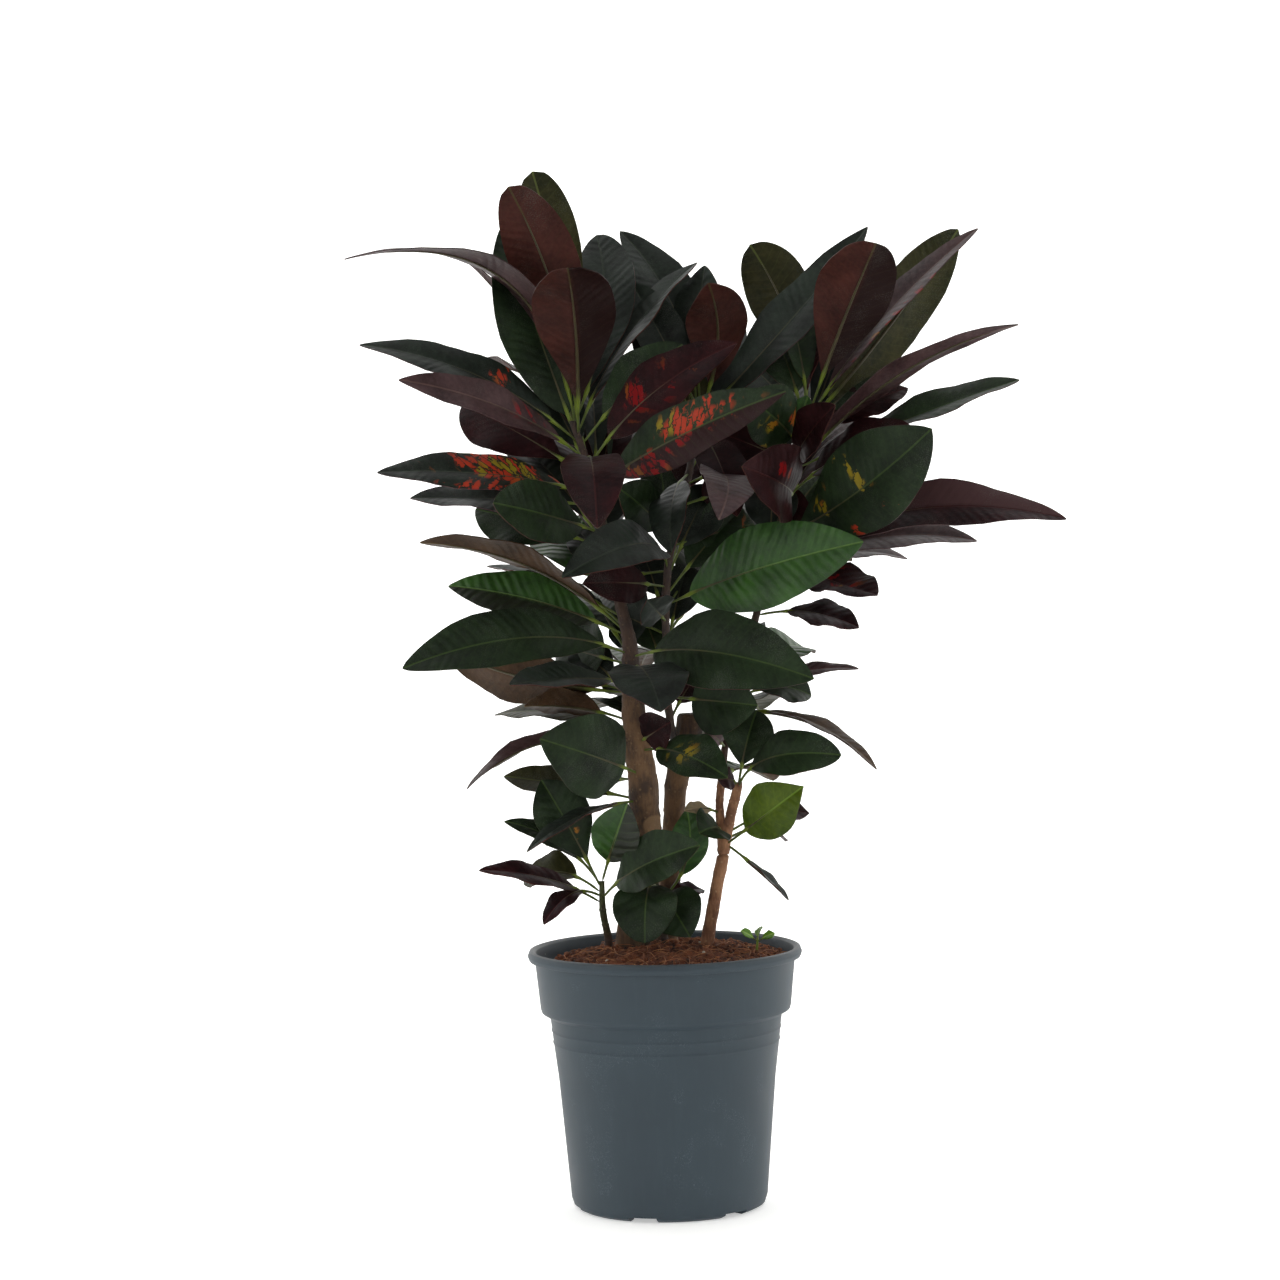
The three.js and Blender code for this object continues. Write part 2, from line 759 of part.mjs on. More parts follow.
function addPiece(name, solid, color, roughness) {
  const material = new THREE.MeshStandardMaterial({ color, roughness, metalness: 0 });
  const mesh = new THREE.Mesh(toGeometry(largestBody(solid)), material);
  mesh.name = name;
  potted.add(mesh);
}

const standingStems = [leftTrunk, centreTrunk, rightCane, leftShootStem, middleShootStem, seedlingStem];

addPiece("pot", potSolid(), 0x46525a, 0.55);
addPiece("soil", soilSolid(standingStems), 0x5f3d28, 0.95);
addPiece("left_trunk", stemSolid(leftTrunk, trunkSides), 0x78604a, 0.85);
addPiece(
  "centre_trunk",
  stemSolid(centreTrunk, trunkSides).subtract(stemSolid(centreStem, twigSides, stemGap)),
  0x6f5644,
  0.85,
);
addPiece("right_cane", stemSolid(rightCane, trunkSides), 0x7a6046, 0.8);

for (const [name, group] of Object.entries(groups)) {
  const solids = [stemSolid(group.stem, twigSides), ...group.leaves.map(leafSolid)];
  if (group.fork) {
    solids.push(stemSolid(group.fork, twigSides));
  }
  addPiece(name, joinAll(solids), group.color, 0.45);
}

export default potted;
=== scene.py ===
# A potted croton: a slate nursery pot of peat, two bare trunks and a cane, and the leafy
# stems that grow on from them. Shapes are worked out in millimetres and set down in metres.
import math

import bmesh
import bpy
from mathutils import Matrix, Vector, noise


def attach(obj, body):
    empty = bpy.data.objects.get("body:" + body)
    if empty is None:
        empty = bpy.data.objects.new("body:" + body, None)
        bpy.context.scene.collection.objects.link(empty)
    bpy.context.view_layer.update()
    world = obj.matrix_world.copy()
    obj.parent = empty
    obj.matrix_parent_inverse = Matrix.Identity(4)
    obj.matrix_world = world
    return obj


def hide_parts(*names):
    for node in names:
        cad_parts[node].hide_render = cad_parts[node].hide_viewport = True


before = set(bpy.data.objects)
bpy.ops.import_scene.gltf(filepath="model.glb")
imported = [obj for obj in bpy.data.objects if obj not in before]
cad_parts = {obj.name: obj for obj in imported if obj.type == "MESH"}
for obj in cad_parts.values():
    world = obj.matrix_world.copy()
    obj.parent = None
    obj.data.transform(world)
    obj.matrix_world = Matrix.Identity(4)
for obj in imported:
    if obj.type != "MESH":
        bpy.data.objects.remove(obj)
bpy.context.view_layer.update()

mm = 0.001
goldenAngle = 2.39996  # radians; leaves and litter set by it never line up
goldenDegrees = 137.508
wholeTurn = 6.28  # radians, for a seeded angle
waveTurn = 6.2832  # radians, for a wave that ends where it began
noise.seed_set(1)  # else the vector noise starts from the clock and differs in each run


# a repeatable number from 0 to 1 for a pair of whole numbers, the same one the solids use
def draw(first, second):
    mixed = math.sin(first * 12.9898 + second * 78.233) * 43758.5453
    return mixed - math.floor(mixed)


def onCircle(angle, radius):
    return math.cos(angle) * radius, math.sin(angle) * radius


# an sRGB hex colour turned to linear, as the shaders want it
def linearColour(code):
    parts = [int(code[at:at + 2], 16) / 255 for at in (1, 3, 5)]
    return [p / 12.92 if p <= 0.04045 else ((p + 0.055) / 1.055) ** 2.4 for p in parts] + [1.0]


# fills a node's sockets, each with a number, a colour code, a socket, or a node whose first output
# in use is taken
def fillSockets(tree, node, inputs):
    for name, value in inputs.items():
        if isinstance(value, bpy.types.Node):
            value = next(output for output in value.outputs if output.enabled)
        if isinstance(value, bpy.types.NodeSocket):
            tree.links.new(value, node.inputs[name])
        else:
            value = linearColour(value) if isinstance(value, str) else value
            node.inputs[name].default_value = value


# adds one shader node with its settings and what goes into its sockets
def addNode(tree, kind, inputs, **settings):
    node = tree.nodes.new("ShaderNode" + kind)
    for name, value in settings.items():
        setattr(node, name, value)
    fillSockets(tree, node, inputs)
    return node


def startMaterial(name):
    material = bpy.data.materials.new(name)
    material.use_nodes = True
    tree = material.node_tree
    tree.nodes.clear()
    shader = addNode(tree, "BsdfPrincipled", {})
    addNode(tree, "OutputMaterial", {"Surface": shader})
    return material, tree, shader


# a new object in the scene, and one whose data is a finished mesh
def addObject(name, data):
    made = bpy.data.objects.new(name, data)
    bpy.context.scene.collection.objects.link(made)
    return made


def addMesh(bm, name):
    mesh = bpy.data.meshes.new(name)
    bm.to_mesh(mesh)
    bm.free()
    return addObject(name, mesh)


# a finished mesh as a piece of the part, which stands for a CAD node
def finishPiece(bm, name, materials, node):
    piece = addMesh(bm, name)
    for material in materials:
        piece.data.materials.append(material)
    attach(piece, "root")
    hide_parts(node)
    return piece


# smooth shading, with a crisp line wherever two faces meet at more than the given angle
def shadeSmooth(bm, degrees):
    for face in bm.faces:
        face.smooth = True
    for edge in bm.edges:
        edge.smooth = edge.calc_face_angle(0) < math.radians(degrees)


# a grid rolled up into a closed tube: place gives the point for a share around and along
def addTube(bm, around, along, place):
    made = bmesh.ops.create_grid(bm, x_segments=around, y_segments=along, size=0.5)
    for vert in made["verts"]:
        vert.co = place((vert.co.x + 0.5) % 1.0, vert.co.y + 0.5)
    faces = {face for vert in made["verts"] for face in vert.link_faces}
    bmesh.ops.remove_doubles(bm, verts=made["verts"], dist=1e-7)
    faces = [face for face in faces if face.is_valid]
    bmesh.ops.recalc_face_normals(bm, faces=faces)
    return faces


# Croton leaf: a leathery blade with a thin wax, so it is very dark with broad soft highlights, and
# ribbed between side veins about 8 mm apart. Dark and light are the blade's two tones, flush is
# what half of a blade may turn to, flame its red cells, and relief is -1 where the veins stand
# proud, as they do on an underside.
leafFinishes = {
    "forest": {"dark": "#0f180c", "light": "#22311b", "flush": "#250f10", "rib": "#3a4c24",
               "flame": "#a3331c", "gloss": 0.15, "relief": 1},
    "night": {"dark": "#0e120e", "light": "#212a22", "flush": "#2e1a1c", "rib": "#2b3327",
              "flame": "#a3331c", "gloss": 0.2, "relief": 0.8},
    "fresh": {"dark": "#17330d", "light": "#2f5618", "flush": "#151c0c", "rib": "#587634",
              "flame": "#a3331c", "gloss": 0.4, "relief": 3.5},
    "lime": {"dark": "#334608", "light": "#55680c", "flush": "#22440e", "rib": "#70902c",
             "flame": "#a3331c", "gloss": 0.25, "relief": 1},
    "wine": {"dark": "#15090b", "light": "#2e1416", "flush": "#473233", "rib": "#3a1c1c",
             "flame": "#6d0c0f", "gloss": 0.06, "relief": 0.8},
    "mauve": {"dark": "#2a1819", "light": "#4a3536", "flush": "#571c20", "rib": "#5c4540",
              "flame": "#74161a", "gloss": 0.2, "relief": 0.8},
    "maroon": {"dark": "#2b1512", "light": "#472620", "flush": "#1e0e0d", "rib": "#453e26",
               "flame": "#6d0c0f", "gloss": 0.1, "relief": -0.7},
    "olive": {"dark": "#1d1f0e", "light": "#35331a", "flush": "#3a241e", "rib": "#525a2c",
              "flame": "#6d0c0f", "gloss": 0.1, "relief": -0.9},
    "ochre": {"dark": "#2b1e13", "light": "#463221", "flush": "#1f2615", "rib": "#5a4c30",
              "flame": "#6d0c0f", "gloss": 0.1, "relief": -0.8},
    "straw": {"dark": "#6a5d46", "light": "#948468", "flush": "#6a5d46", "rib": "#a39274",
              "flame": "#6d0c0f", "gloss": 0.1, "relief": 0.6},
    "weed": {"dark": "#3f6a14", "light": "#6a9424", "flush": "#3f6a14", "rib": "#8fb04a",
             "flame": "#a3331c", "gloss": 0.3, "relief": 0.4},
}
# what all blades share; spacings and widths are in mm
leafWax = {"roughness": 0.47, "veinSpacing": 8.0, "veinLean": 0.62, "veinTint": 0.10,
           "ribHalf": 0.9, "ribTint": 0.7, "ridge": 0.5, "cellAlong": 5.5, "cellAcross": 12.0,
           "gold": "#7f6e18", "deepRed": "#750b0e", "dust": "#6f726c"}


def makeLeafFinish(name, look):
    material, tree, shader = startMaterial("croton_leaf_" + name)
    place = addNode(tree, "UVMap", {}, uv_map="bladeMap")
    axes = addNode(tree, "SeparateXYZ", {0: place})
    across = addNode(tree, "Math", {0: axes.outputs[0]}, operation="ABSOLUTE")
    half = addNode(tree, "Math", {0: axes.outputs[0], 1: 0.0}, operation="GREATER_THAN")
    marks = addNode(tree, "Attribute", {}, attribute_name="marks")
    amounts = addNode(tree, "SeparateColor", {0: marks.outputs["Color"]})
    ember, gold, flush = amounts.outputs
    tone = marks.outputs["Alpha"]

    # side veins climb from the midrib to the edge, those of the two halves out of step
    drift = addNode(tree, "TexNoise", {"Vector": place, "Scale": 0.05, "Detail": 2.0})
    lean = addNode(tree, "Math", {0: across, 1: -leafWax["veinLean"], 2: axes.outputs[1]},
                   operation="MULTIPLY_ADD")
    stepped = addNode(tree, "Math", {0: drift, 1: 2.2, 2: half}, operation="MULTIPLY_ADD")
    offset = addNode(tree, "Math", {0: stepped, 1: 0.4}, operation="MULTIPLY")
    phase = addNode(tree, "Math", {0: lean, 1: 1 / leafWax["veinSpacing"], 2: offset},
                    operation="MULTIPLY_ADD")
    away = addNode(tree, "Math", {0: phase, 1: 0.5}, operation="PINGPONG")
    vein = addNode(tree, "MapRange", {0: away, 1: 0.0, 2: 0.09, 3: 1.0, 4: 0.0},
                   interpolation_type="SMOOTHSTEP")
    rib = addNode(tree, "MapRange", {0: across, 1: leafWax["ribHalf"] * 0.45, 2: leafWax["ribHalf"],
                                     3: 1.0, 4: 0.0}, interpolation_type="SMOOTHSTEP")
    veinShare = addNode(tree, "Math", {0: vein, 1: leafWax["veinTint"]}, operation="MULTIPLY")
    ribShare = addNode(tree, "Math", {0: rib, 1: leafWax["ribTint"]}, operation="MULTIPLY")

    # the blade's two tones, in clouds of about 25 mm, and small mottling of 3 mm
    here = addNode(tree, "TexCoord", {}).outputs["Object"]
    cloud = addNode(tree, "TexNoise", {"Vector": here, "Scale": 40.0, "Detail": 3.0})
    mottle = addNode(tree, "TexNoise", {"Vector": place, "Scale": 0.33, "Detail": 4.0})
    mixer = addNode(tree, "Math", {0: mottle, 1: 0.5, 2: cloud}, operation="MULTIPLY_ADD")
    share = addNode(tree, "MapRange", {0: mixer, 1: 0.52, 2: 0.98})
    colour = addNode(tree, "Mix", {0: share, 6: look["dark"], 7: look["light"]}, data_type="RGBA")

    # variegation: the blade is a net of small cells, longest along the side veins, and single
    # cells turn red or gold, split from each other by dark green
    wobble = addNode(tree, "TexNoise", {"Vector": place, "Scale": 0.3, "Detail": 2.0})
    cellX = addNode(tree, "Math", {0: axes.outputs[0], 1: 1 / leafWax["cellAcross"], 2: wobble},
                    operation="MULTIPLY_ADD")
    cellY = addNode(tree, "Math", {0: lean, 1: 1 / leafWax["cellAlong"], 2: wobble},
                    operation="MULTIPLY_ADD")
    cellPlace = addNode(tree, "CombineXYZ", {0: cellX, 1: cellY})
    cell = addNode(tree, "TexVoronoi", {"Vector": cellPlace, "Scale": 1.0, "Randomness": 0.8})
    border = addNode(tree, "TexVoronoi", {"Vector": cellPlace, "Scale": 1.0, "Randomness": 0.8},
                     feature="DISTANCE_TO_EDGE")
    chance = addNode(tree, "SeparateColor", {0: cell.outputs["Color"]})
    most = addNode(tree, "Math", {0: ember, 1: gold}, operation="MAXIMUM")
    over = addNode(tree, "Math", {0: most, 1: chance.outputs[0]}, operation="SUBTRACT")
    turned = addNode(tree, "MapRange", {0: over, 1: 0.0, 2: 0.25})
    ragged = addNode(tree, "Math", {0: mottle, 1: 0.12, 2: border}, operation="MULTIPLY_ADD")
    inside = addNode(tree, "MapRange", {0: ragged, 1: 0.10, 2: 0.17})
    variegated = addNode(tree, "Math", {0: turned, 1: inside}, operation="MULTIPLY")
    both = addNode(tree, "Math", {0: ember, 1: gold}, operation="ADD")
    pick = addNode(tree, "Math", {0: both, 1: chance.outputs[1]}, operation="MULTIPLY")
    goldOver = addNode(tree, "Math", {0: gold, 1: pick}, operation="SUBTRACT")
    goldShare = addNode(tree, "MapRange", {0: goldOver, 1: -0.1, 2: 0.1})
    flame = addNode(tree, "Mix", {0: flush, 6: look["flame"], 7: leafWax["deepRed"]},
                    data_type="RGBA")
    flame = addNode(tree, "Mix", {0: goldShare, 6: flame, 7: leafWax["gold"]}, data_type="RGBA")

    # hard-water dust: specks under a millimetre, in patches a few centimetres wide
    specks = addNode(tree, "TexNoise", {"Vector": place, "Scale": 1.1, "Detail": 3.0})
    patch = addNode(tree, "TexNoise", {"Vector": here, "Scale": 28.0})
    dusty = addNode(tree, "Math", {0: specks, 1: patch}, operation="MULTIPLY")
    dust = addNode(tree, "MapRange", {0: dusty, 1: 0.30, 2: 0.44, 3: 0.0, 4: 0.18})

    # the tints that lie over the two tones, from the lowest to the topmost
    for layer, tint in ((flush, look["flush"]), (veinShare, look["rib"]), (variegated, flame),
                        (ribShare, look["rib"]), (dust, leafWax["dust"])):
        colour = addNode(tree, "Mix", {0: layer, 6: colour, 7: tint}, data_type="RGBA")
    toned = addNode(tree, "HueSaturation", {"Value": tone, "Color": colour})

    rough = addNode(tree, "Math", {0: dust, 1: 1.2, 2: leafWax["roughness"]},
                    operation="MULTIPLY_ADD")
    # the strips between two veins swell, more in some places than in others, and the midrib is a
    # groove above and a ridge below
    swell = addNode(tree, "Math", {0: away, 1: waveTurn}, operation="MULTIPLY")
    swollen = addNode(tree, "Math", {0: swell}, operation="COSINE")
    where = addNode(tree, "TexNoise", {"Vector": place, "Scale": 0.03, "Detail": 1.0})
    much = addNode(tree, "MapRange", {0: where, 1: 0.38, 2: 0.66, 3: 0.12, 4: 0.75})
    quilt = addNode(tree, "Math", {0: swollen, 1: much}, operation="MULTIPLY")
    height = addNode(tree, "Math", {0: quilt, 1: -look["relief"]}, operation="MULTIPLY")
    groove = addNode(tree, "Math", {0: rib, 1: -1.2 * look["relief"], 2: height},
                     operation="MULTIPLY_ADD")
    grain = addNode(tree, "Math", {0: mottle, 1: 1.1, 2: groove}, operation="MULTIPLY_ADD")
    bump = addNode(tree, "Bump", {"Height": grain, "Strength": leafWax["ridge"],
                                  "Distance": 0.5 * mm})
    fillSockets(tree, shader, {"Base Color": toned, "Roughness": rough, "Normal": bump,
                               "Specular IOR Level": look["gloss"]})
    return material


finishNames = list(leafFinishes)
leafMaterials = [makeLeafFinish(name, look) for name, look in leafFinishes.items()]
print("leaf finishes:", len(leafMaterials))

# stems: x, y, z, radius from the root up
leftTrunk = [
    (-31, 22, 120, 11), (-27, 20, 180, 14), (-24, 17, 204, 14), (-17, 8, 245, 12.5),
    (-13, 0, 285, 12.5),
]
leftStem = [
    (-13, 0, 285.4, 12.3), (-14, -8, 328, 11.5), (-19, -10, 363, 10), (-21, -10, 405, 7.5),
    (-22, -10, 435, 5.5), (-34, -12, 489, 3.4), (-49, -18, 565, 3), (-62, -20, 602, 2.6),
]
centreTrunk = [
    (-1, 46, 120, 7), (2, 42, 205, 8.5), (8, 31, 286, 8), (12, 26, 325, 9), (22, 22, 362, 11),
    (25, 22, 376, 10.5),
]
centreStem = [
    (15, 22, 338, 2.8), (8, 11, 366, 3.2), (6, 11, 390, 3), (6, 14, 464, 3), (9, 18, 494, 3),
    (27, 22, 563, 3), (36, 25, 618, 2.6),
]
rightCane = [(27, 18, 120, 4.5), (33, 15, 202, 5.2), (42, 10, 248, 4.9), (46.5, 8, 268, 5)]
rightStem = [
    (46.6, 8, 268.4, 4.9), (46, 9, 280, 4.2), (44, 12, 306, 3.2), (49, 20, 347, 2.8),
    (58, 28, 385, 2.8), (81, 30, 469, 3), (103, 15, 548, 3), (111, 5, 576, 2.8),
    (120, 0, 612, 2.6),
]
rightFork = [(46.6, 8, 269, 4), (52, 5, 296, 4.2), (59, 0, 324, 3.6)]
leftShootStem = [(-42, 12, 150, 2.6), (-43, 10, 205, 3), (-47, 0, 228, 2.6), (-47, -5, 251, 2)]
middleShootStem = [(1, 11, 150, 2.4), (0, 10, 209, 2.6), (-1, 0, 231, 2.2), (-6, -8, 250, 1.9)]
seedlingStem = [(70, -12, 170, 1), (70, -12, 196, 1), (71, -12, 207, 0.9)]

# leaves: name, height of the root on its stem, tip x, y, z, width, turn, arch, sway, belly, and
# the finishes of the upper face and the underside. A turn of 0 shows the upper face to the front,
# 90 turns it to the sky and 180 shows the underside.
leftRows = [
    ("A1", 591, -89, 34, 794, 44, 170, 10, -5, 0.7, "forest olive"),
    ("A2", 585, -105, -45, 777, 52, 172, 8, -11, 0.64, "night maroon"),
    ("A3", 590, -61, -115, 712, 62, 180, 12, -3, 0.62, "night maroon"),
    ("A4", 588, -225, -92, 723, 44, 112, 66, 0, 0.38, "mauve mauve"),
    ("A5", 580, -122, 70, 729, 42, 160, 8, 0, 0.68, "night maroon"),
    ("A5b", 572, -146, 20, 731, 24, 108, 16, 0, 0.5, "mauve mauve"),
    ("A6", 582, -112, 14, 752, 60, 15, 8, -4, 0.46, "forest maroon"),
    ("A8", 585, -220, -30, 662, 40, 52, 19, 0, 0.42, "night mauve"),
    ("A9", 573, -188, -82, 634, 36, 50, 14, 0, 0.48, "mauve mauve"),
    ("A10", 558, -147, 40, 616, 54, 22, 8, 0, 0.6, "wine maroon"),
    ("A11", 546, -207, -60, 566, 44, 52, 9, 0, 0.45, "night mauve"),
    ("A12", 538, -185, -25, 546, 40, 58, 2, 0, 0.5, "night mauve"),
    ("A13", 570, -43, -155, 523, 48, 10, 22, 0, 0.5, "wine maroon"),
    ("L1", 516, -120, -95, 542, 50, 32, 4, 0, 0.5, "forest maroon"),
    ("A16", 505, -138, 25, 536, 52, 30, 4, 0, 0.58, "forest maroon"),
    ("B7", 568, 63, -44, 657, 48, 35, 14, -4, 0.45, "wine maroon"),
    ("B8", 551, 96, -116, 619, 46, 25, 14, 0, 0.45, "forest maroon"),
    ("B1", 599, -41, 66, 746, 52, 20, 6, 16, 0.6, "night maroon"),
    ("B4", 592, 36, 44, 722, 38, 56, 10, -5, 0.5, "night maroon"),
    ("B6", 584, 23, -6, 658, 44, 30, 8, 0, 0.5, "forest maroon"),
    ("A17", 440, -180, 0, 512, 44, 110, 18, 0, 0.5, "fresh ochre"),
    ("A18", 452, -132, 66, 491, 34, 74, 6, 0, 0.5, "night maroon"),
    ("A19", 438, -158, -20, 479, 46, 38, 12, 0, 0.5, "fresh ochre"),
    ("A20", 424, -190, -86, 421, 50, 38, 30, 0, 0.52, "forest olive"),
    ("A21", 395, -168, 40, 430, 58, 150, -14, 0, 0.56, "forest ochre"),
    ("A22", 366, -129, 78, 374, 34, 70, 8, 0, 0.5, "olive olive"),
    ("A23", 402, -110, -120, 409, 36, 64, 5, 0, 0.5, "night maroon"),
    ("A24", 395, -102, 50, 399, 36, 70, 6, 0, 0.5, "night maroon"),
    ("A25", 372, -103, -8, 386, 38, 125, 6, 0, 0.5, "forest ochre"),
    ("A26", 332, -90, -75, 366, 64, 12, 12, 0, 0.45, "forest olive"),
    ("A27", 352, -148, -10, 324, 44, 108, 22, 0, 0.5, "wine mauve"),
    ("A28", 312, -121, 25, 330, 38, 55, 2, 0, 0.5, "olive olive"),
    ("A29", 328, -56, 62, 314, 30, 60, 6, 0, 0.5, "forest olive"),
    ("A31", 312, -101, -84, 283, 24, 78, 9, 0, 0.4, "night maroon"),
    ("M2", 422, 114, -85, 407, 64, 28, 26, 0, 0.45, "forest maroon"),
    ("M3", 412, 0, -130, 388, 60, 40, 14, 0, 0.5, "night maroon"),
    ("R1", 350, 49, -75, 334, 42, 45, 12, 0, 0.48, "forest olive"),
]

centreRows = [
    ("L2", 488, -70, -132, 487, 44, 46, 30, 0, 0.5, "night maroon"),
    ("M1", 460, 154, -60, 507, 66, 22, 20, 2, 0.48, "fresh olive"),
    ("M12", 508, -28, -58, 551, 38, 30, 6, 0, 0.6, "forest maroon"),
    ("M11", 560, 11, -80, 502, 34, 40, 12, 0, 0.5, "night maroon"),
    ("M10", 552, 45, -132, 527, 42, 55, 22, -12, 0.5, "mauve mauve"),
    ("M9", 594, 60, -62, 528, 38, 20, 14, 0, 0.5, "wine maroon"),
    ("B2", 606, -23, 90, 750, 44, 25, 12, 11, 0.5, "night maroon"),
    ("B3b", 614, 42, 48, 720, 42, 30, 6, 0, 0.5, "night maroon"),
    ("B5", 600, 43, -25, 703, 48, 165, 10, -14, 0.58, "night maroon"),
    ("C2", 600, 166, 15, 745, 44, 40, 8, 10, 0.45, "night mauve"),
]

rightRows = [
    ("C1", 602, 78, 78, 737, 52, 160, 10, -8, 0.68, "forest olive"),
    ("C3", 604, 103, 42, 699, 32, 30, 4, 0, 0.5, "forest olive"),
    ("C4", 606, 167, -65, 728, 58, 175, 12, 0, 0.6, "night maroon"),
    ("C5", 600, 250, 15, 742, 34, 60, 10, 0, 0.5, "mauve mauve"),
    ("C6", 596, 238, 50, 744, 56, 150, 6, -8, 0.52, "forest olive"),
    ("C7", 562, 272, -60, 666, 32, 120, 20, 0, 0.42, "wine mauve"),
    ("C8", 562, 279, 6, 626, 42, 65, 4, 0, 0.6, "forest mauve"),
    ("C9", 541, 193, -24, 593, 48, 60, 8, 0, 0.5, "wine maroon"),
    ("C10", 558, 134, -78, 609, 36, 50, 8, 0, 0.5, "wine maroon"),
    ("C12", 584, 116, -34, 617, 24, 30, 5, 0, 0.5, "fresh olive"),
    ("C14", 576, 68, -58, 618, 50, 20, 10, 0, 0.55, "forest maroon"),
    ("C11", 590, 184, 58, 648, 36, 20, 5, 0, 0.5, "forest olive"),
    ("M4", 450, 153, 0, 440, 42, 66, 8, 0, 0.5, "wine maroon"),
    ("M5", 495, 165, -40, 466, 52, 60, -2, 0, 0.5, "wine mauve"),
    ("N1", 492, 310, -20, 520, 50, 48, 32, 0, 0.5, "wine mauve"),
    ("N2", 480, 245, 10, 504, 44, 60, 18, 0, 0.5, "mauve mauve"),
    ("N3", 480, 193, 30, 491, 36, 70, 12, 0, 0.5, "mauve mauve"),
    ("M7", 508, 204, -90, 590, 70, 15, 8, 8, 0.58, "forest maroon"),
    ("M8", 540, 63, -110, 565, 58, 22, 16, 0, 0.5, "wine maroon"),
    ("Mm", 388, 151, -20, 410, 22, 72, 8, 0, 0.5, "mauve mauve"),
    ("R14", 385, 117, 30, 387, 38, 50, 12, 0, 0.55, "forest maroon"),
    ("R9", 376, 162, -40, 335, 26, 78, 15, 0, 0.5, "ochre mauve"),
    ("R11", 284, 28, -24, 288, 34, 60, 6, 0, 0.5, "forest olive"),
]

forkRows = [
    ("R3", 320, 135, -50, 347, 38, 40, 25, 0, 0.55, "forest maroon"),
    ("R2", 318, 74, 5, 378, 42, 20, 6, 0, 0.6, "forest maroon"),
    ("R4", 276, 107, -35, 323, 44, 20, 8, 2, 0.5, "lime olive"),
    ("R5", 285, 113, 10, 298, 36, 60, 8, 0, 0.5, "wine maroon"),
    ("R6", 280, 95, 30, 275, 36, 70, 10, 0, 0.5, "mauve mauve"),
    ("R7", 276, 95, -10, 234, 14, 78, 2, 0, 0.5, "night maroon"),
    ("R8", 322, 43, -10, 327, 20, 40, 4, 0, 0.5, "mauve mauve"),
]

leftInnerRows = [
    ("N5", 356, 8, -38, 374, 32, 10, 4, 0, 0.5, "wine maroon"),
    ("N6", 416, -78, 55, 428, 56, 10, 5, 0, 0.4, "forest maroon"),
    ("N7", 560, -10, 45, 590, 36, 10, 5, 0, 0.5, "forest maroon"),
]

centreInnerRows = [
    ("M6", 474, -56, -52, 480, 34, 20, 6, 0, 0.45, "wine maroon"),
    ("N4", 438, -34, 44, 456, 48, 0, 4, 0, 0.36, "night maroon"),
    ("M13", 486, -45, 50, 478, 40, 10, 6, 0, 0.5, "night maroon"),
    ("M14", 390, 74, -22, 384, 52, 5, 6, 0, 0.42, "forest maroon"),
    ("M15", 505, 76, 45, 520, 52, 10, 6, 0, 0.45, "forest maroon"),
    ("M16", 536, 62, 62, 546, 44, 10, 6, 0, 0.45, "wine maroon"),
    ("B3", 598, -10, 55, 690, 40, 10, 6, 0, 0.5, "night maroon"),
    ("M19", 448, -8, -30, 466, 32, 5, 3, 0, 0.5, "night maroon"),
]

rightInnerRows = [
    ("C13", 566, 52, 30, 590, 38, 10, 5, 0, 0.5, "wine maroon"),
    ("C15", 596, 68, 78, 652, 46, 10, 6, 0, 0.5, "forest maroon"),
    ("R12", 350, 34, -12, 367, 26, 10, 3, 0, 0.5, "mauve mauve"),
    ("M18", 516, 134, 70, 560, 46, 10, 5, 0, 0.45, "forest maroon"),
    ("R13", 300, 17, -10, 304, 15, 60, 3, 0, 0.5, "straw straw"),
]

leftShootRows = [
    ("A30", 246, -91, -25, 331, 44, 15, 6, 0, 0.6, "forest olive"),
    ("A32", 248, -120, -15, 299, 24, 58, 12, 0, 0.5, "forest olive"),
    ("A33", 242, -107, 12, 249, 40, 56, 15, 0, 0.5, "olive ochre"),
    ("A34", 234, -138, -60, 267, 28, 68, 8, 0, 0.5, "wine maroon"),
    ("A35", 239, -91, -40, 223, 22, 62, 14, 0, 0.55, "wine maroon"),
    ("A36", 251, -26, -48, 314, 38, 10, 5, 0, 0.5, "fresh ochre"),
    ("A37", 238, 27, -74, 284, 44, 40, 12, 0, 0.5, "forest olive"),
]

middleShootRows = [
    ("A38", 246, -15, -60, 210, 50, 20, 20, 0, 0.5, "forest olive"),
    ("A39", 246, 19, -55, 213, 44, 10, 10, 0, 0.5, "forest olive"),
    ("A40", 236, 19, 2, 304, 30, 15, 6, 12, 0.55, "fresh olive"),
    ("A41", 228, 31, 15, 240, 26, 60, 6, 0, 0.5, "wine maroon"),
]

seedlingRows = [
    ("W1", 205, 58, -17, 218, 9, 60, 1, 0, 0.6, "weed weed"),
    ("W2", 205, 84, -14, 215, 9, 60, 1, 0, 0.6, "weed weed"),
    ("W3", 206, 74, -2, 219, 8, 60, 1, 0, 0.6, "weed weed"),
]

# small inner leaves that close the heart of the crowns
leftSmallRows = [
    ("S1", 392, -66, 40, 428, 32, 20, 6, 0, 0.5, "night maroon"),
    ("S2", 470, -62, 45, 520, 34, 20, 6, 0, 0.5, "night maroon"),
    ("S9", 560, -86, 34, 634, 38, 15, 6, 0, 0.5, "night maroon"),
    ("S10", 534, -30, 36, 610, 40, 15, 6, 0, 0.5, "wine maroon"),
    ("S11", 496, -44, 38, 562, 40, 10, 6, 0, 0.5, "night maroon"),
]

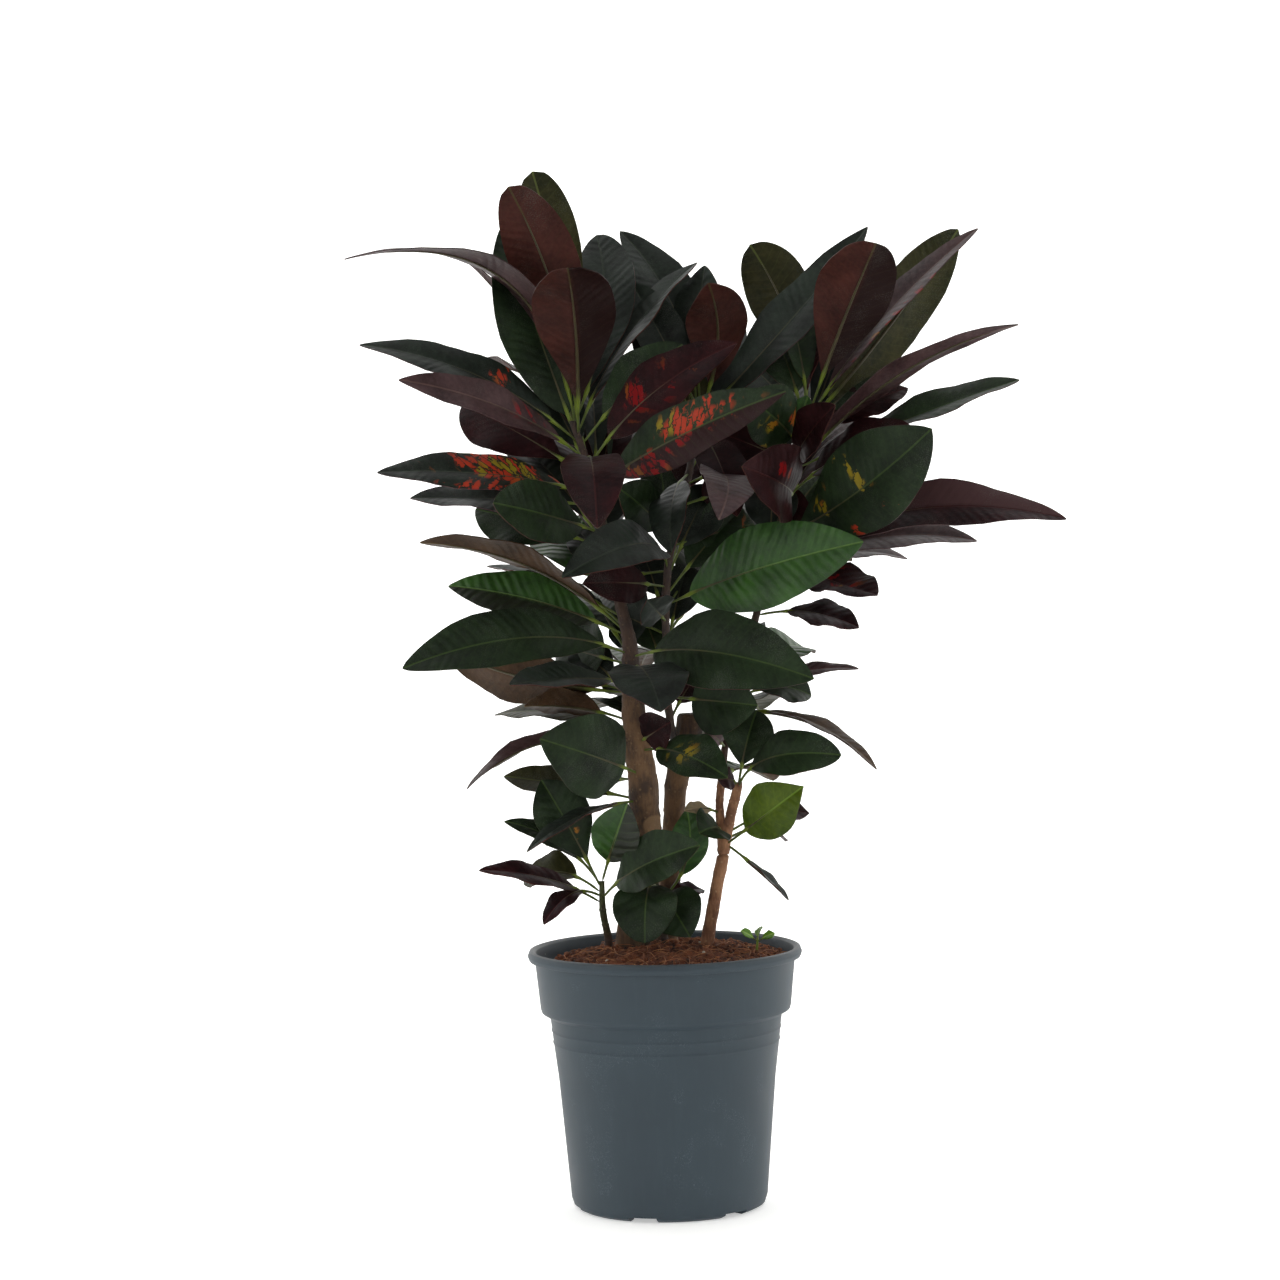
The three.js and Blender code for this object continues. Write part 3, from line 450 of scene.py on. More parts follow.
centreSmallRows = [
    ("S3", 530, 36, 62, 582, 36, 15, 6, 0, 0.5, "wine maroon"),
    ("S4", 446, -14, 56, 508, 38, 15, 6, 0, 0.5, "night maroon"),
    ("S5", 408, -14, 48, 456, 34, 10, 5, 0, 0.5, "forest maroon"),
    ("S6", 372, 30, 40, 404, 30, 20, 5, 0, 0.5, "wine maroon"),
    ("S12", 610, -15, 40, 708, 38, 10, 6, 0, 0.5, "night maroon"),
    ("S13", 482, 44, 42, 552, 44, 12, 6, 0, 0.5, "night maroon"),
    ("S14", 496, 4, 46, 568, 42, 10, 6, 0, 0.5, "forest maroon"),
    ("S15", 426, 24, 48, 490, 38, 12, 6, 0, 0.5, "night maroon"),
    ("S18", 572, 26, 40, 642, 36, 12, 6, 0, 0.5, "olive olive"),
    ("S20", 468, 64, 38, 530, 40, 20, 6, 0, 0.5, "forest maroon"),
]

rightSmallRows = [
    ("S7", 582, 196, 34, 622, 36, 45, 6, 0, 0.5, "wine maroon"),
    ("S8", 470, 128, 10, 474, 30, 55, 8, 0, 0.5, "night maroon"),
    ("S16", 494, 92, 40, 556, 42, 12, 6, 0, 0.5, "night maroon"),
    ("S17", 596, 94, 40, 668, 38, 12, 6, 0, 0.5, "forest maroon"),
    ("S19", 476, 110, 38, 546, 42, 12, 6, 0, 0.5, "wine maroon"),
]

# leaves round the back of a stem: bearings and rises are in degrees
leftBack = {"count": 13, "low": 330, "high": 596, "from": 84, "sweep": 52,
            "lowRise": -4, "highRise": 46, "lowLength": 125, "highLength": 175, "width": 48}
centreBack = {"count": 9, "low": 400, "high": 606, "from": 62, "sweep": 43,
              "lowRise": 0, "highRise": 52, "lowLength": 130, "highLength": 165, "width": 46}
rightBack = {"count": 13, "low": 310, "high": 604, "from": 46, "sweep": 52,
             "lowRise": -6, "highRise": 46, "lowLength": 92, "highLength": 170, "width": 48}

# marks on single leaves: kind, then where along the blade (0 to 1) and across it (-1 to 1), how
# far each way, and how strong. A flush covers one half of a blade, the one its sign gives.
leafMarks = {
    "A3": [("flush", -1.0)],
    "A8": [("ember", 0.31, 0.35, 0.045, 0.45, 1.3), ("ember", 0.27, 0.1, 0.03, 0.2, 0.7)],
    "A9": [("ember", 0.20, 0.3, 0.12, 0.7, 0.62), ("ember", 0.36, 0.0, 0.10, 0.6, 0.25)],
    "A11": [("ember", 0.32, 0.5, 0.26, 0.9, 1.7), ("gold", 0.26, 0.6, 0.18, 0.8, 1.15),
            ("ember", 0.62, 0.4, 0.10, 0.5, 0.42), ("ember", 0.44, -0.85, 0.22, 0.25, 1.0)],
    "A19": [("flush", -1.0)],
    "A30": [("gold", 0.35, 0.1, 0.06, 0.2, 0.6)],
    "A36": [("flush", 1.0)],
    "B7": [("ember", 0.30, -0.35, 0.08, 0.45, 1.0), ("ember", 0.42, 0.0, 0.30, 0.9, 0.28)],
    "B8": [("flush", 1.0), ("ember", 0.54, -0.35, 0.22, 0.45, 1.2),
           ("gold", 0.40, -0.35, 0.10, 0.4, 0.45), ("ember", 0.20, 0.5, 0.12, 0.6, 1.4),
           ("ember", 0.46, 0.15, 0.14, 0.2, 0.6)],
    "C4": [("flush", -1.0)],
    "C5": [("ember", 0.45, 0.9, 0.30, 0.12, 0.9)],
    "C14": [("gold", 0.5, -0.3, 0.14, 0.5, 0.9), ("ember", 0.2, 0.5, 0.12, 0.5, 0.9)],
    "M5": [("ember", 0.4, 0.0, 0.3, 0.7, 0.6)],
    "M7": [("gold", 0.50, -0.62, 0.045, 0.22, 1.1), ("gold", 0.50, -0.15, 0.05, 0.16, 1.2),
           ("gold", 0.22, -0.3, 0.06, 0.35, 1.1), ("ember", 0.59, 0.75, 0.03, 0.14, 1.2),
           ("ember", 0.38, 0.85, 0.03, 0.12, 1.0)],
    "M8": [("ember", 0.55, 0.3, 0.20, 0.3, 0.6)],
    "M15": [("ember", 0.5, 0.0, 0.4, 0.8, 0.3)],
    "N1": [("flush", -1.0), ("ember", 0.25, -0.6, 0.08, 0.3, 0.5)],
    "N2": [("ember", 0.2, 0.0, 0.2, 0.9, 0.45)],
    "R1": [("gold", 0.4, 0.0, 0.25, 0.6, 0.45)],
}
# the power that a leaf's outline falls off with at its tip: the lower it is, the blunter the tip
tipPowers = {"A1": 0.42, "A2": 0.48, "A3": 0.5, "A20": 0.7, "A37": 0.65, "A38": 0.5,
             "B1": 0.6, "C1": 0.5, "C4": 0.5, "C6": 0.6, "L1": 0.6, "R2": 0.6, "R3": 0.6,
             "R4": 1.0, "R5": 0.9}
plainTip = 0.75


# the two stations of a stem on either side of a height, and how far it is from one to the other
def stemStretch(stem, height):
    upper = 1
    while upper + 1 < len(stem) and stem[upper][2] < height:
        upper += 1
    low, high = stem[upper - 1], stem[upper]
    return low, high, min(1, max(0, (height - low[2]) / (high[2] - low[2])))


def stemPoint(stem, height):
    low, high, share = stemStretch(stem, height)
    return Vector(low[:3]).lerp(Vector(high[:3]), share)


def stemRadius(stem, height):
    low, high, share = stemStretch(stem, height)
    return low[3] + (high[3] - low[3]) * share


# a leaf's root, a millimetre off the middle of its stem on the side that the leaf leaves it
def rootTowards(stem, height, tip):
    middle = stemPoint(stem, height)
    outward = tip - middle
    outward.z = 0
    return middle + outward.normalized()


# which way a leaf's upper face looks: turned from the front towards the sky
def frontNormal(along, turn):
    front = Vector((0, -1, 0))
    facing = (front - along * front.dot(along)).normalized()
    skyward = along.cross(facing)
    if skyward.z < 0:
        skyward.negate()
    angle = math.radians(turn)
    return facing * math.cos(angle) + skyward * math.sin(angle)


# the same for a leaf whose upper face looks to the sky, rolled a little to one side
def skyNormal(along, roll):
    sky = Vector((0, 0, 1))
    facing = (sky - along * sky.dot(along)).normalized()
    return Matrix.Rotation(math.radians(roll), 3, along) @ facing


# half the width of a blade, from 0 to 1, at a share of its length; it is widest at its belly
def outline(share, belly, tipPower):
    lean = math.log(0.5) / math.log(belly)
    power = tipPower if share > belly else plainTip
    return max(0.0, math.sin(math.pi * share ** lean)) ** power


# how much a leaf folds along its midrib, waves along its edges and twists towards its tip
def leafHabit(number):
    return {
        "fold": 0.1 + 0.16 * draw(number, 1),
        "wave": 0.05 + 0.05 * draw(number, 2),
        "phase": wholeTurn * draw(number, 3),
        "twist": 30 * (draw(number, 4) - 0.5),
        "tone": 0.88 + 0.24 * draw(number, 6),
    }


def placedLeaves(stem, rows, firstNumber):
    leaves = []
    for number, row in enumerate(rows):
        name, height, x, y, z, width, turn, arch, sway, belly, finishes = row
        tip = Vector((x, y, z))
        root = rootTowards(stem, height, tip)
        along = (tip - root).normalized()
        leaves.append({"name": name, "root": root, "tip": tip, "normal": frontNormal(along, turn),
                       "width": width, "arch": arch, "sway": sway, "belly": belly,
                       "tipPower": tipPowers.get(name, plainTip), "finishes": finishes.split(),
                       **leafHabit(firstNumber + number)})
    return leaves


# the leaves round the back of a stem, set by the golden angle between two heights
def backLeaves(stem, rule, seed):
    leaves = []
    for number in range(rule["count"]):
        share = (number + 0.5) / rule["count"]
        height = rule["low"] + (rule["high"] - rule["low"]) * share
        bearing = math.radians(rule["from"] + (number * goldenDegrees + seed * 40) % rule["sweep"])
        rise = math.radians(rule["lowRise"] + (rule["highRise"] - rule["lowRise"]) * share
                            + 16 * (draw(seed, number) - 0.5))
        length = rule["lowLength"] + (rule["highLength"] - rule["lowLength"]) * share
        reach = length * (0.88 + 0.24 * draw(seed + 1, number))
        along = Vector((math.cos(rise) * math.cos(bearing), math.cos(rise) * math.sin(bearing),
                        math.sin(rise)))
        tip = stemPoint(stem, height) + along * reach
        low = "forest olive" if number % 3 else "fresh ochre"
        high = "night maroon" if number % 3 else "wine maroon"
        leaves.append({"name": f"back{seed}_{number}", "root": rootTowards(stem, height, tip),
                       "tip": tip, "normal": skyNormal(along, 50 * (draw(seed + 2, number) - 0.5)),
                       "width": rule["width"] * (0.85 + 0.3 * draw(seed + 3, number)),
                       "arch": reach * 0.13, "sway": 16 * (draw(seed + 4, number) - 0.5),
                       "belly": 0.48 + 0.14 * draw(seed + 5, number), "tipPower": 0.7,
                       "finishes": (low if share < 0.55 else high).split(),
                       **leafHabit(seed * 100 + number)})
    return leaves


# blades: bunch draws the rows of faces to both ends and ribEase draws the lines to the midrib;
# waves and ripples are the radians that the two kinds of wave run through along a blade
bladeForm = {"cellsAlong": 28, "cellsAcross": 12, "thickness": 0.8, "leastHalf": 0.4,
             "bunch": 0.08, "ribEase": 1.12, "waves": 15, "ripples": 52, "ripple": 0.014,
             "crown": 0.05}


# how far along its blade a share of a leaf's length lies; the blade starts where the stalk ends
def bladeShare(leaf, share):
    return max(0, (share - leaf["stalkShare"]) / (1 - leaf["stalkShare"]))


# the middle line of a leaf at a share of its length, with its side and its upper direction
def leafLine(leaf, share):
    straight = leaf["tip"] - leaf["root"]
    length = straight.length
    along = straight.normalized()
    across = along.cross(leaf["normal"]).normalized()
    bulge = 4 * share * (1 - share)
    slope = 4 * (1 - 2 * share)
    middle = (leaf["root"] + along * (length * share) + leaf["normal"] * (leaf["arch"] * bulge)
              + across * (leaf["sway"] * bulge))
    tangent = (along * length + leaf["normal"] * (leaf["arch"] * slope)
               + across * (leaf["sway"] * slope)).normalized()
    side = (across - tangent * across.dot(tangent)).normalized()
    twist = math.radians(leaf["twist"] * (bladeShare(leaf, share) - 0.4))
    side = Matrix.Rotation(twist, 3, tangent) @ side
    return middle, side, side.cross(tangent).normalized()


# how much red, gold and flush a spot of a blade has, with the whole leaf's tone
def markAmounts(leaf, blade, across):
    amounts = {"ember": 0.0, "gold": 0.0, "flush": 0.0}
    for mark in leafMarks.get(leaf["name"], ()):
        if mark[0] == "flush":
            amounts["flush"] = min(1.0, max(0.0, 0.5 + across * mark[1] * 14))
            continue
        kind, centre, sideways, reach, sideReach, strength = mark
        gap = ((blade - centre) / reach) ** 2 + ((across - sideways) / sideReach) ** 2
        amounts[kind] = max(amounts[kind], strength * math.exp(-gap))
    return amounts["ember"], amounts["gold"], amounts["flush"], leaf["tone"]


# one blade: a grid shaped to the leaf, then given its thickness
def addBlade(bm, leaf):
    form = bladeForm
    bladeMap = bm.loops.layers.uv["bladeMap"]
    marks = bm.verts.layers.float_color["marks"]
    made = bmesh.ops.create_grid(bm, x_segments=form["cellsAlong"], y_segments=form["cellsAcross"],
                                 size=0.5)
    length = (leaf["tip"] - leaf["root"]).length * (1 - leaf["stalkShare"])
    shift = 300 * draw(leaf["width"], leaf["twist"])
    flat = {}
    for vert in made["verts"]:
        along = vert.co.x + 0.5
        blade = along - form["bunch"] * math.sin(waveTurn * along)
        across = math.copysign(abs(2 * vert.co.y) ** form["ribEase"], vert.co.y)
        share = leaf["stalkShare"] + (1 - leaf["stalkShare"]) * blade
        middle, side, up = leafLine(leaf, share)
        half = leaf["width"] / 2 * outline(blade, leaf["belly"], leaf["tipPower"])
        half = max(form["leastHalf"], half)
        late = 2 if across > 0 else 0  # radians, which sets the two halves out of step
        edge = abs(across)
        wave = math.sin(blade * form["waves"] + leaf["phase"] + late)
        ripple = math.sin(blade * form["ripples"] + leaf["phase"] * 3 + late)
        rise = half * (leaf["fold"] * edge ** 1.2 + leaf["wave"] * edge ** 1.5 * wave
                       + form["ripple"] * edge ** 3 * ripple
                       + form["crown"] * math.sin(math.pi * edge))
        vert.co = (middle + side * (half * across) + up * (rise + form["thickness"] / 2)) * mm
        vert[marks] = markAmounts(leaf, blade, across)
        flat[vert] = (half * across, blade * length + shift)
    upper = list(dict.fromkeys(face for vert in made["verts"] for face in vert.link_faces))
    for face in upper:
        face.normal_update()
    middle, side, up = leafLine(leaf, 0.6)
    if sum(face.normal.dot(up) for face in upper) < 0:
        bmesh.ops.reverse_faces(bm, faces=upper)
    for face in upper:
        face.material_index = finishNames.index(leaf["finishes"][0])
        for loop in face.loops:
            loop[bladeMap].uv = flat[loop.vert]
    before = set(bm.faces)
    bmesh.ops.solidify(bm, geom=upper, thickness=form["thickness"] * mm)
    for face in set(bm.faces) - before:
        face.material_index = finishNames.index(leaf["finishes"][1])


# stalks: joint is how much they swell where the blade begins, and jointReach how far along that
# goes, as a share of the leaf; under the blade they run on as a midrib that tapers to its tip
stalkForm = {"around": 8, "along": 22, "petiole": 26, "mostShare": 0.3, "radius": 1.15,
             "waist": 0.15, "joint": 0.4, "jointReach": 0.035, "ribTaper": 1.35, "ribTip": 0.2,
             "ribEnd": 0.9, "sink": 0.5}


def addStalk(bm, leaf):
    form = stalkForm
    thin = leaf.get("stalkScale", 1)
    run = bm.verts.layers.float["run"]

    def place(turn, along):
        ends = min(1, 12 * along, 12 * (1 - along))
        share = form["ribEnd"] * along
        middle, side, up = leafLine(leaf, share)
        blade = bladeShare(leaf, share)
        if share < leaf["stalkShare"]:
            waist = math.sin(math.pi * share / leaf["stalkShare"])
            radius = form["radius"] * (1 - form["waist"] * waist)
        else:
            radius = form["ribTaper"] * (1 - blade) ** 0.8 + form["ribTip"]
        joint = math.exp(-((share - leaf["stalkShare"]) / form["jointReach"]) ** 2)
        radius *= thin * (1 + form["joint"] * joint) * math.sqrt(ends)
        sink = form["sink"] * min(1, blade * 8) * thin
        angle = turn * 2 * math.pi
        aside, rise = onCircle(angle, radius)
        return (middle + side * aside + up * (rise - sink)) * mm

    faces = addTube(bm, form["around"], form["along"], place)
    root, tip = leaf["root"] * mm, leaf["tip"] * mm
    straight = tip - root
    for vert in {vert for face in faces for vert in face.verts}:
        vert[run] = (vert.co - root).dot(straight) / straight.length_squared - leaf["stalkShare"]


# Fleshy leaf stalk with a thin skin and a satin sheen: dull green, often ruddy, with a bright
# yellow-green joint where it meets the blade, and olive where it runs on as the midrib.
stalkLook = {"young": ("#37401a", "#5c6c26"), "midrib": ("#2c2318", "#4a4526"),
             "joint": "#65741f", "gloss": 0.35}


def makeStalkFinish():
    material, tree, shader = startMaterial("croton_leaf_stalk")
    run = addNode(tree, "Attribute", {}, attribute_name="run")
    here = addNode(tree, "TexCoord", {}).outputs["Object"]
    blotch = addNode(tree, "TexNoise", {"Vector": here, "Scale": 60.0, "Detail": 2.0})
    tones = []
    for dark, light in (stalkLook["young"], stalkLook["midrib"]):
        tones.append(addNode(tree, "Mix", {0: blotch, 6: dark, 7: light}, data_type="RGBA"))
    onBlade = addNode(tree, "MapRange", {0: run.outputs["Fac"], 1: 0.0, 2: 0.10})
    colour = addNode(tree, "Mix", {0: onBlade, 6: tones[0], 7: tones[1]}, data_type="RGBA")
    gap = addNode(tree, "Math", {0: run.outputs["Fac"]}, operation="ABSOLUTE")
    joint = addNode(tree, "MapRange", {0: gap, 1: 0.015, 2: 0.055, 3: 0.9, 4: 0.0})
    colour = addNode(tree, "Mix", {0: joint, 6: colour, 7: stalkLook["joint"]}, data_type="RGBA")
    streak = addNode(tree, "TexNoise", {"Vector": here, "Scale": 900.0})
    bump = addNode(tree, "Bump", {"Height": streak, "Strength": 0.2, "Distance": 0.2 * mm})
    rough = addNode(tree, "MapRange", {0: blotch, 3: 0.38, 4: 0.55})
    fillSockets(tree, shader, {"Base Color": colour, "Roughness": rough, "Normal": bump,
                               "Specular IOR Level": stalkLook["gloss"]})
    return material


stalkFinish = makeStalkFinish()


def makeFoliage(name, leaves, node):
    for leaf in leaves:
        length = (leaf["tip"] - leaf["root"]).length
        leaf["stalkShare"] = min(stalkForm["mostShare"], stalkForm["petiole"] / length)
    blades = bmesh.new()
    blades.loops.layers.uv.new("bladeMap")
    blades.verts.layers.float_color.new("marks")
    stalks = bmesh.new()
    stalks.verts.layers.float.new("run")
    for leaf in leaves:
        addBlade(blades, leaf)
        addStalk(stalks, leaf)
    for bm in (blades, stalks):
        bm.normal_update()
    shadeSmooth(blades, 50)
    shadeSmooth(stalks, 60)
    finishPiece(blades, name + "_blades", leafMaterials, node)
    finishPiece(stalks, name + "_stalks", [stalkFinish], node)
    print(name, "leaves:", len(leaves))


# Croton bark: dry, matt and finely cracked along the stem, tan on old wood and dark and ruddy on
# young wood, with corky specks of 1 to 2 mm. The dark young bark is also painted shade, laid
# where the stems climb into the shade of the crowns.
barkFinishes = {
    "old_tan": {"dark": "#38271a", "light": "#684d33", "speck": "#7a6145", "rough": 0.85},
    "cane_brown": {"dark": "#704b35", "light": "#a87a58", "speck": "#b08c68", "rough": 0.8},
    "young_wood_in_shade": {"dark": "#211613", "light": "#3d2b20", "speck": "#55432f", "rough": 0.65},
    "shoot_green": {"dark": "#2a2115", "light": "#40471f", "speck": "#5a5730", "rough": 0.6},
}
# where a finger's breadth of bark has peeled off the left trunk
peeledPatch = {"place": (-5.5, -12, 293), "reach": 13, "colour": "#8a6c4c", "strength": 0.6}


# a bark that turns into another one between two heights
def makeBark(name, lower, upper, lowTurn, highTurn):
    material, tree, shader = startMaterial("croton_bark_" + name)
    here = addNode(tree, "TexCoord", {}).outputs["Object"]
    axes = addNode(tree, "SeparateXYZ", {0: here})
    turn = addNode(tree, "MapRange", {0: axes.outputs[2], 1: lowTurn * mm, 2: highTurn * mm})
    stretched = addNode(tree, "Mapping", {"Vector": here, "Scale": (1, 1, 0.22)})
    crack = addNode(tree, "TexNoise", {"Vector": stretched, "Scale": 420.0, "Detail": 6.0,
                                       "Roughness": 0.65})
    stain = addNode(tree, "TexNoise", {"Vector": here, "Scale": 45.0, "Detail": 3.0})
    cork = addNode(tree, "TexVoronoi", {"Vector": here, "Scale": 210.0})
    blend = addNode(tree, "Math", {0: crack.outputs[0], 1: 0.6, 2: stain.outputs[0]},
                    operation="MULTIPLY_ADD")
    share = addNode(tree, "MapRange", {0: blend, 1: 0.66, 2: 0.94})
    speck = addNode(tree, "MapRange", {0: cork, 1: 0.10, 2: 0.24, 3: 0.6, 4: 0.0})
    tones = []
    for look in (barkFinishes[lower], barkFinishes[upper]):
        tone = addNode(tree, "Mix", {0: share, 6: look["dark"], 7: look["light"]}, data_type="RGBA")
        tones.append(addNode(tree, "Mix", {0: speck, 6: tone, 7: look["speck"]}, data_type="RGBA"))
    colour = addNode(tree, "Mix", {0: turn, 6: tones[0], 7: tones[1]}, data_type="RGBA")
    reach = addNode(tree, "VectorMath", {0: here, 1: Vector(peeledPatch["place"]) * mm},
                    operation="DISTANCE")
    ragged = addNode(tree, "Math", {0: stain, 1: 0.012, 2: reach.outputs["Value"]},
                     operation="MULTIPLY_ADD")
    peeled = addNode(tree, "MapRange", {0: ragged, 1: peeledPatch["reach"] * mm,
                                        2: peeledPatch["reach"] * 1.15 * mm,
                                        3: peeledPatch["strength"], 4: 0.0})
    colour = addNode(tree, "Mix", {0: peeled, 6: colour, 7: peeledPatch["colour"]},
                     data_type="RGBA")
    rough = barkFinishes[lower]["rough"]
    rough = addNode(tree, "MapRange", {0: crack, 3: rough - 0.12, 4: rough + 0.08})
    depth = addNode(tree, "Math", {0: speck, 1: 0.5, 2: crack.outputs[0]}, operation="MULTIPLY_ADD")
    bump = addNode(tree, "Bump", {"Height": depth, "Strength": 0.9, "Distance": 1.4 * mm})
    fillSockets(tree, shader, {"Base Color": colour, "Roughness": rough, "Normal": bump})
    return material


# Sawn end of a pruned trunk: dry wood, dull and rough, weathered to a grey-brown; its dark tone is
# partly painted shade, as the stump's top lies in the shade of the leaves.
cutWood = {"dark": "#2e2219", "light": "#4e3d2d", "rough": 0.9, "depth": 1.5}


def makeCutWood():
    material, tree, shader = startMaterial("sawn_stump_wood_in_shade")
    here = addNode(tree, "TexCoord", {}).outputs["Object"]
    grain = addNode(tree, "TexNoise", {"Vector": here, "Scale": 260.0, "Detail": 3.0})
    colour = addNode(tree, "Mix", {0: grain, 6: cutWood["dark"], 7: cutWood["light"]},
                     data_type="RGBA")
    bump = addNode(tree, "Bump", {"Height": grain, "Strength": 0.5, "Distance": 0.5 * mm})
    fillSockets(tree, shader, {"Base Color": colour, "Roughness": cutWood["rough"], "Normal": bump})
    return material


stemCap = 0.02  # the share of a stem's rows that closes each of its ends


# a stem through its stations, with the corners eased, fine bumps and the ring scars of old leaves
def addStem(bm, stem, form):
    foot, top = stem[0][2], stem[-1][2]

    def place(turn, along):
        climb = min(1, max(0, (along - stemCap) / (1 - 2 * stemCap)))
        height = foot + (top - foot) * climb
        eased = (stemPoint(stem, height - form["ease"]) + stemPoint(stem, height) * 2
                 + stemPoint(stem, height + form["ease"])) / 4
        eased.z = height
        radius = (stemRadius(stem, height - form["ease"]) + stemRadius(stem, height) * 2
                  + stemRadius(stem, height + form["ease"])) / 4
        angle = turn * 2 * math.pi
        spot = Vector((*onCircle(angle, radius), height * 0.6))
        radius *= 1 + form["bump"] * noise.noise(spot * 0.16 + Vector((foot, top, 0)))
        scar = max(0, math.sin(height / form["scarEvery"] + 1.7 * math.sin(height / 23))) ** 10
        radius += form["scar"] * scar
        radius *= min(1, along / stemCap, (1 - along) / stemCap)
        return (eased + Vector((*onCircle(angle, radius), 0))) * mm

    return addTube(bm, form["around"], form["along"], place)


def makeStem(name, stems, form, material, node, cutTop=None):
    bm = bmesh.new()
    for stem in stems:
        addStem(bm, stem, form)
    bm.normal_update()
    shadeSmooth(bm, 50)
    materials = [material]
    if cutTop is not None:
        materials.append(cutTop)
        high = max(vert.co.z for vert in bm.verts)
        for face in bm.faces:
            if face.normal.z > 0.8 and face.calc_center_median().z > high - cutWood["depth"] * mm:
                face.material_index = 1
    finishPiece(bm, name, materials, node)


# stems: how finely they are drawn, how far their corners are eased, how bumpy they are, and how
# high their ring scars stand and how often they come
trunkForm = {"around": 28, "along": 110, "ease": 7, "bump": 0.10, "scar": 0.5, "scarEvery": 3.4}
caneForm = {"around": 20, "along": 70, "ease": 5, "bump": 0.08, "scar": 0.35, "scarEvery": 3.0}
twigForm = {"around": 14, "along": 170, "ease": 6, "bump": 0.10, "scar": 0.4, "scarEvery": 1.7}

oldBark = makeBark("old_trunk", "old_tan", "old_tan", 100, 101)
makeStem("left_trunk_bark", [leftTrunk], trunkForm, oldBark, "left_trunk")
# the pruned trunk turns dark towards its top: painted shade, as its top stands in the shade of the
# leaves
makeStem("centre_trunk_bark", [centreTrunk], trunkForm,
         makeBark("pruned_trunk", "old_tan", "young_wood_in_shade", 330, 400), "centre_trunk",
         makeCutWood())
makeStem("right_cane_bark", [rightCane], caneForm,
         makeBark("cane", "cane_brown", "cane_brown", 100, 101), "right_cane")
# the left stem turns dark where it climbs into the crown: darker young wood, and painted shade from
# the leaves over it
makeStem("left_stem_bark", [leftStem], twigForm,
         makeBark("left_stem", "old_tan", "young_wood_in_shade", 360, 430), "left_leafy_stem")
makeStem("centre_stem_bark", [centreStem], twigForm,
         makeBark("centre_stem", "young_wood_in_shade", "young_wood_in_shade", 100, 101),
         "centre_leafy_stem")
makeStem("right_stem_bark", [rightStem, rightFork], twigForm,
         makeBark("right_stem", "cane_brown", "young_wood_in_shade", 318, 340), "right_leafy_stem")
shootBark = makeBark("shoot", "young_wood_in_shade", "shoot_green", 205, 225)
makeStem("left_shoot_bark", [leftShootStem], twigForm, shootBark, "left_shoot")
makeStem("middle_shoot_bark", [middleShootStem], twigForm, shootBark, "middle_shoot")
print("stems are up")

makeFoliage("left_crown",
            placedLeaves(leftStem, leftRows, 0) + placedLeaves(leftStem, leftInnerRows, 50)
            + placedLeaves(leftStem, leftSmallRows, 60) + backLeaves(leftStem, leftBack, 1),
            "left_leafy_stem")
makeFoliage("centre_crown",
            placedLeaves(centreStem, centreRows, 100)
            + placedLeaves(centreStem, centreInnerRows, 150)
            + placedLeaves(centreStem, centreSmallRows, 170)
            + backLeaves(centreStem, centreBack, 2), "centre_leafy_stem")
makeFoliage("right_crown",
            placedLeaves(rightStem, rightRows, 200) + placedLeaves(rightFork, forkRows, 300)
            + placedLeaves(rightStem, rightInnerRows, 250)
            + placedLeaves(rightStem, rightSmallRows, 270) + backLeaves(rightStem, rightBack, 3),
            "right_leafy_stem")
makeFoliage("left_shoot", placedLeaves(leftShootStem, leftShootRows, 400),
            "left_shoot")
makeFoliage("middle_shoot", placedLeaves(middleShootStem, middleShootRows, 500),
            "middle_shoot")

# the weed: all its leaves spring from one height, and its tips hang lower than the rows say
weedForm = {"around": 8, "along": 20, "ease": 2, "bump": 0.05, "scar": 0.0, "scarEvery": 3.0,
            "leafHeight": 203, "droop": 6, "stalkScale": 0.4}
weedLeaves = placedLeaves(seedlingStem, seedlingRows, 600)
for leaf in weedLeaves:
    leaf["root"] = stemPoint(seedlingStem, weedForm["leafHeight"])
    leaf["tip"].z -= weedForm["droop"]
    leaf["stalkScale"] = weedForm["stalkScale"]
makeFoliage("seedling", weedLeaves, "seedling")
makeStem("seedling_stalk", [seedlingStem], weedForm, stalkFinish, "seedling")

# the pot; its notches stand in the foot ring, the first of them at a bearing in degrees
potForm = {"steps": 144, "holeRadius": 5, "holeCircle": 50, "holes": 8, "footRadius": 70,
           "notchDepth": 24, "notchWidth": 22, "notchHeight": 4, "notches": 6, "firstNotch": 253,
           "round": 0.45, "sharp": 24}
# half section: radius and height, from the underside's middle round the lip to the inner floor
potProfile = [
    (0, 0), (22, 0), (24, 5), (57, 5), (59.5, 0), (68, 0), (73.2, 2.6), (75.2, 9), (83, 100),
    (86.3, 126.6), (87.1, 128), (86.6, 129.4), (87.3, 135.8), (88.1, 137.2), (87.6, 138.6),
    (88.8, 147.6), (95, 151.2), (95.9, 154.4), (99.5, 190.6), (103.8, 191), (105, 194.5),
    (103.6, 198.3), (101.4, 199), (98.6, 197.2), (97.6, 190), (94.1, 155.2), (93.3, 153),
    (87.2, 149.6), (87, 147.6), (81.2, 100), (73.4, 9.6), (70.5, 6.8), (0, 6.8),
]


# Polypropylene, injection moulded: slate blue-grey, satin from the mould, with a film of dust,
# faint drag lines up the wall, small pale scuffs and water marks.
potPlastic = {"dark": "#2c363e", "light": "#38444c", "drag": "#505d65", "scuff": "#67737b",
              "peatSpeck": "#6b4a33", "limeSpeck": "#8d979c", "dust": "#6b6157", "gloss": 0.3}


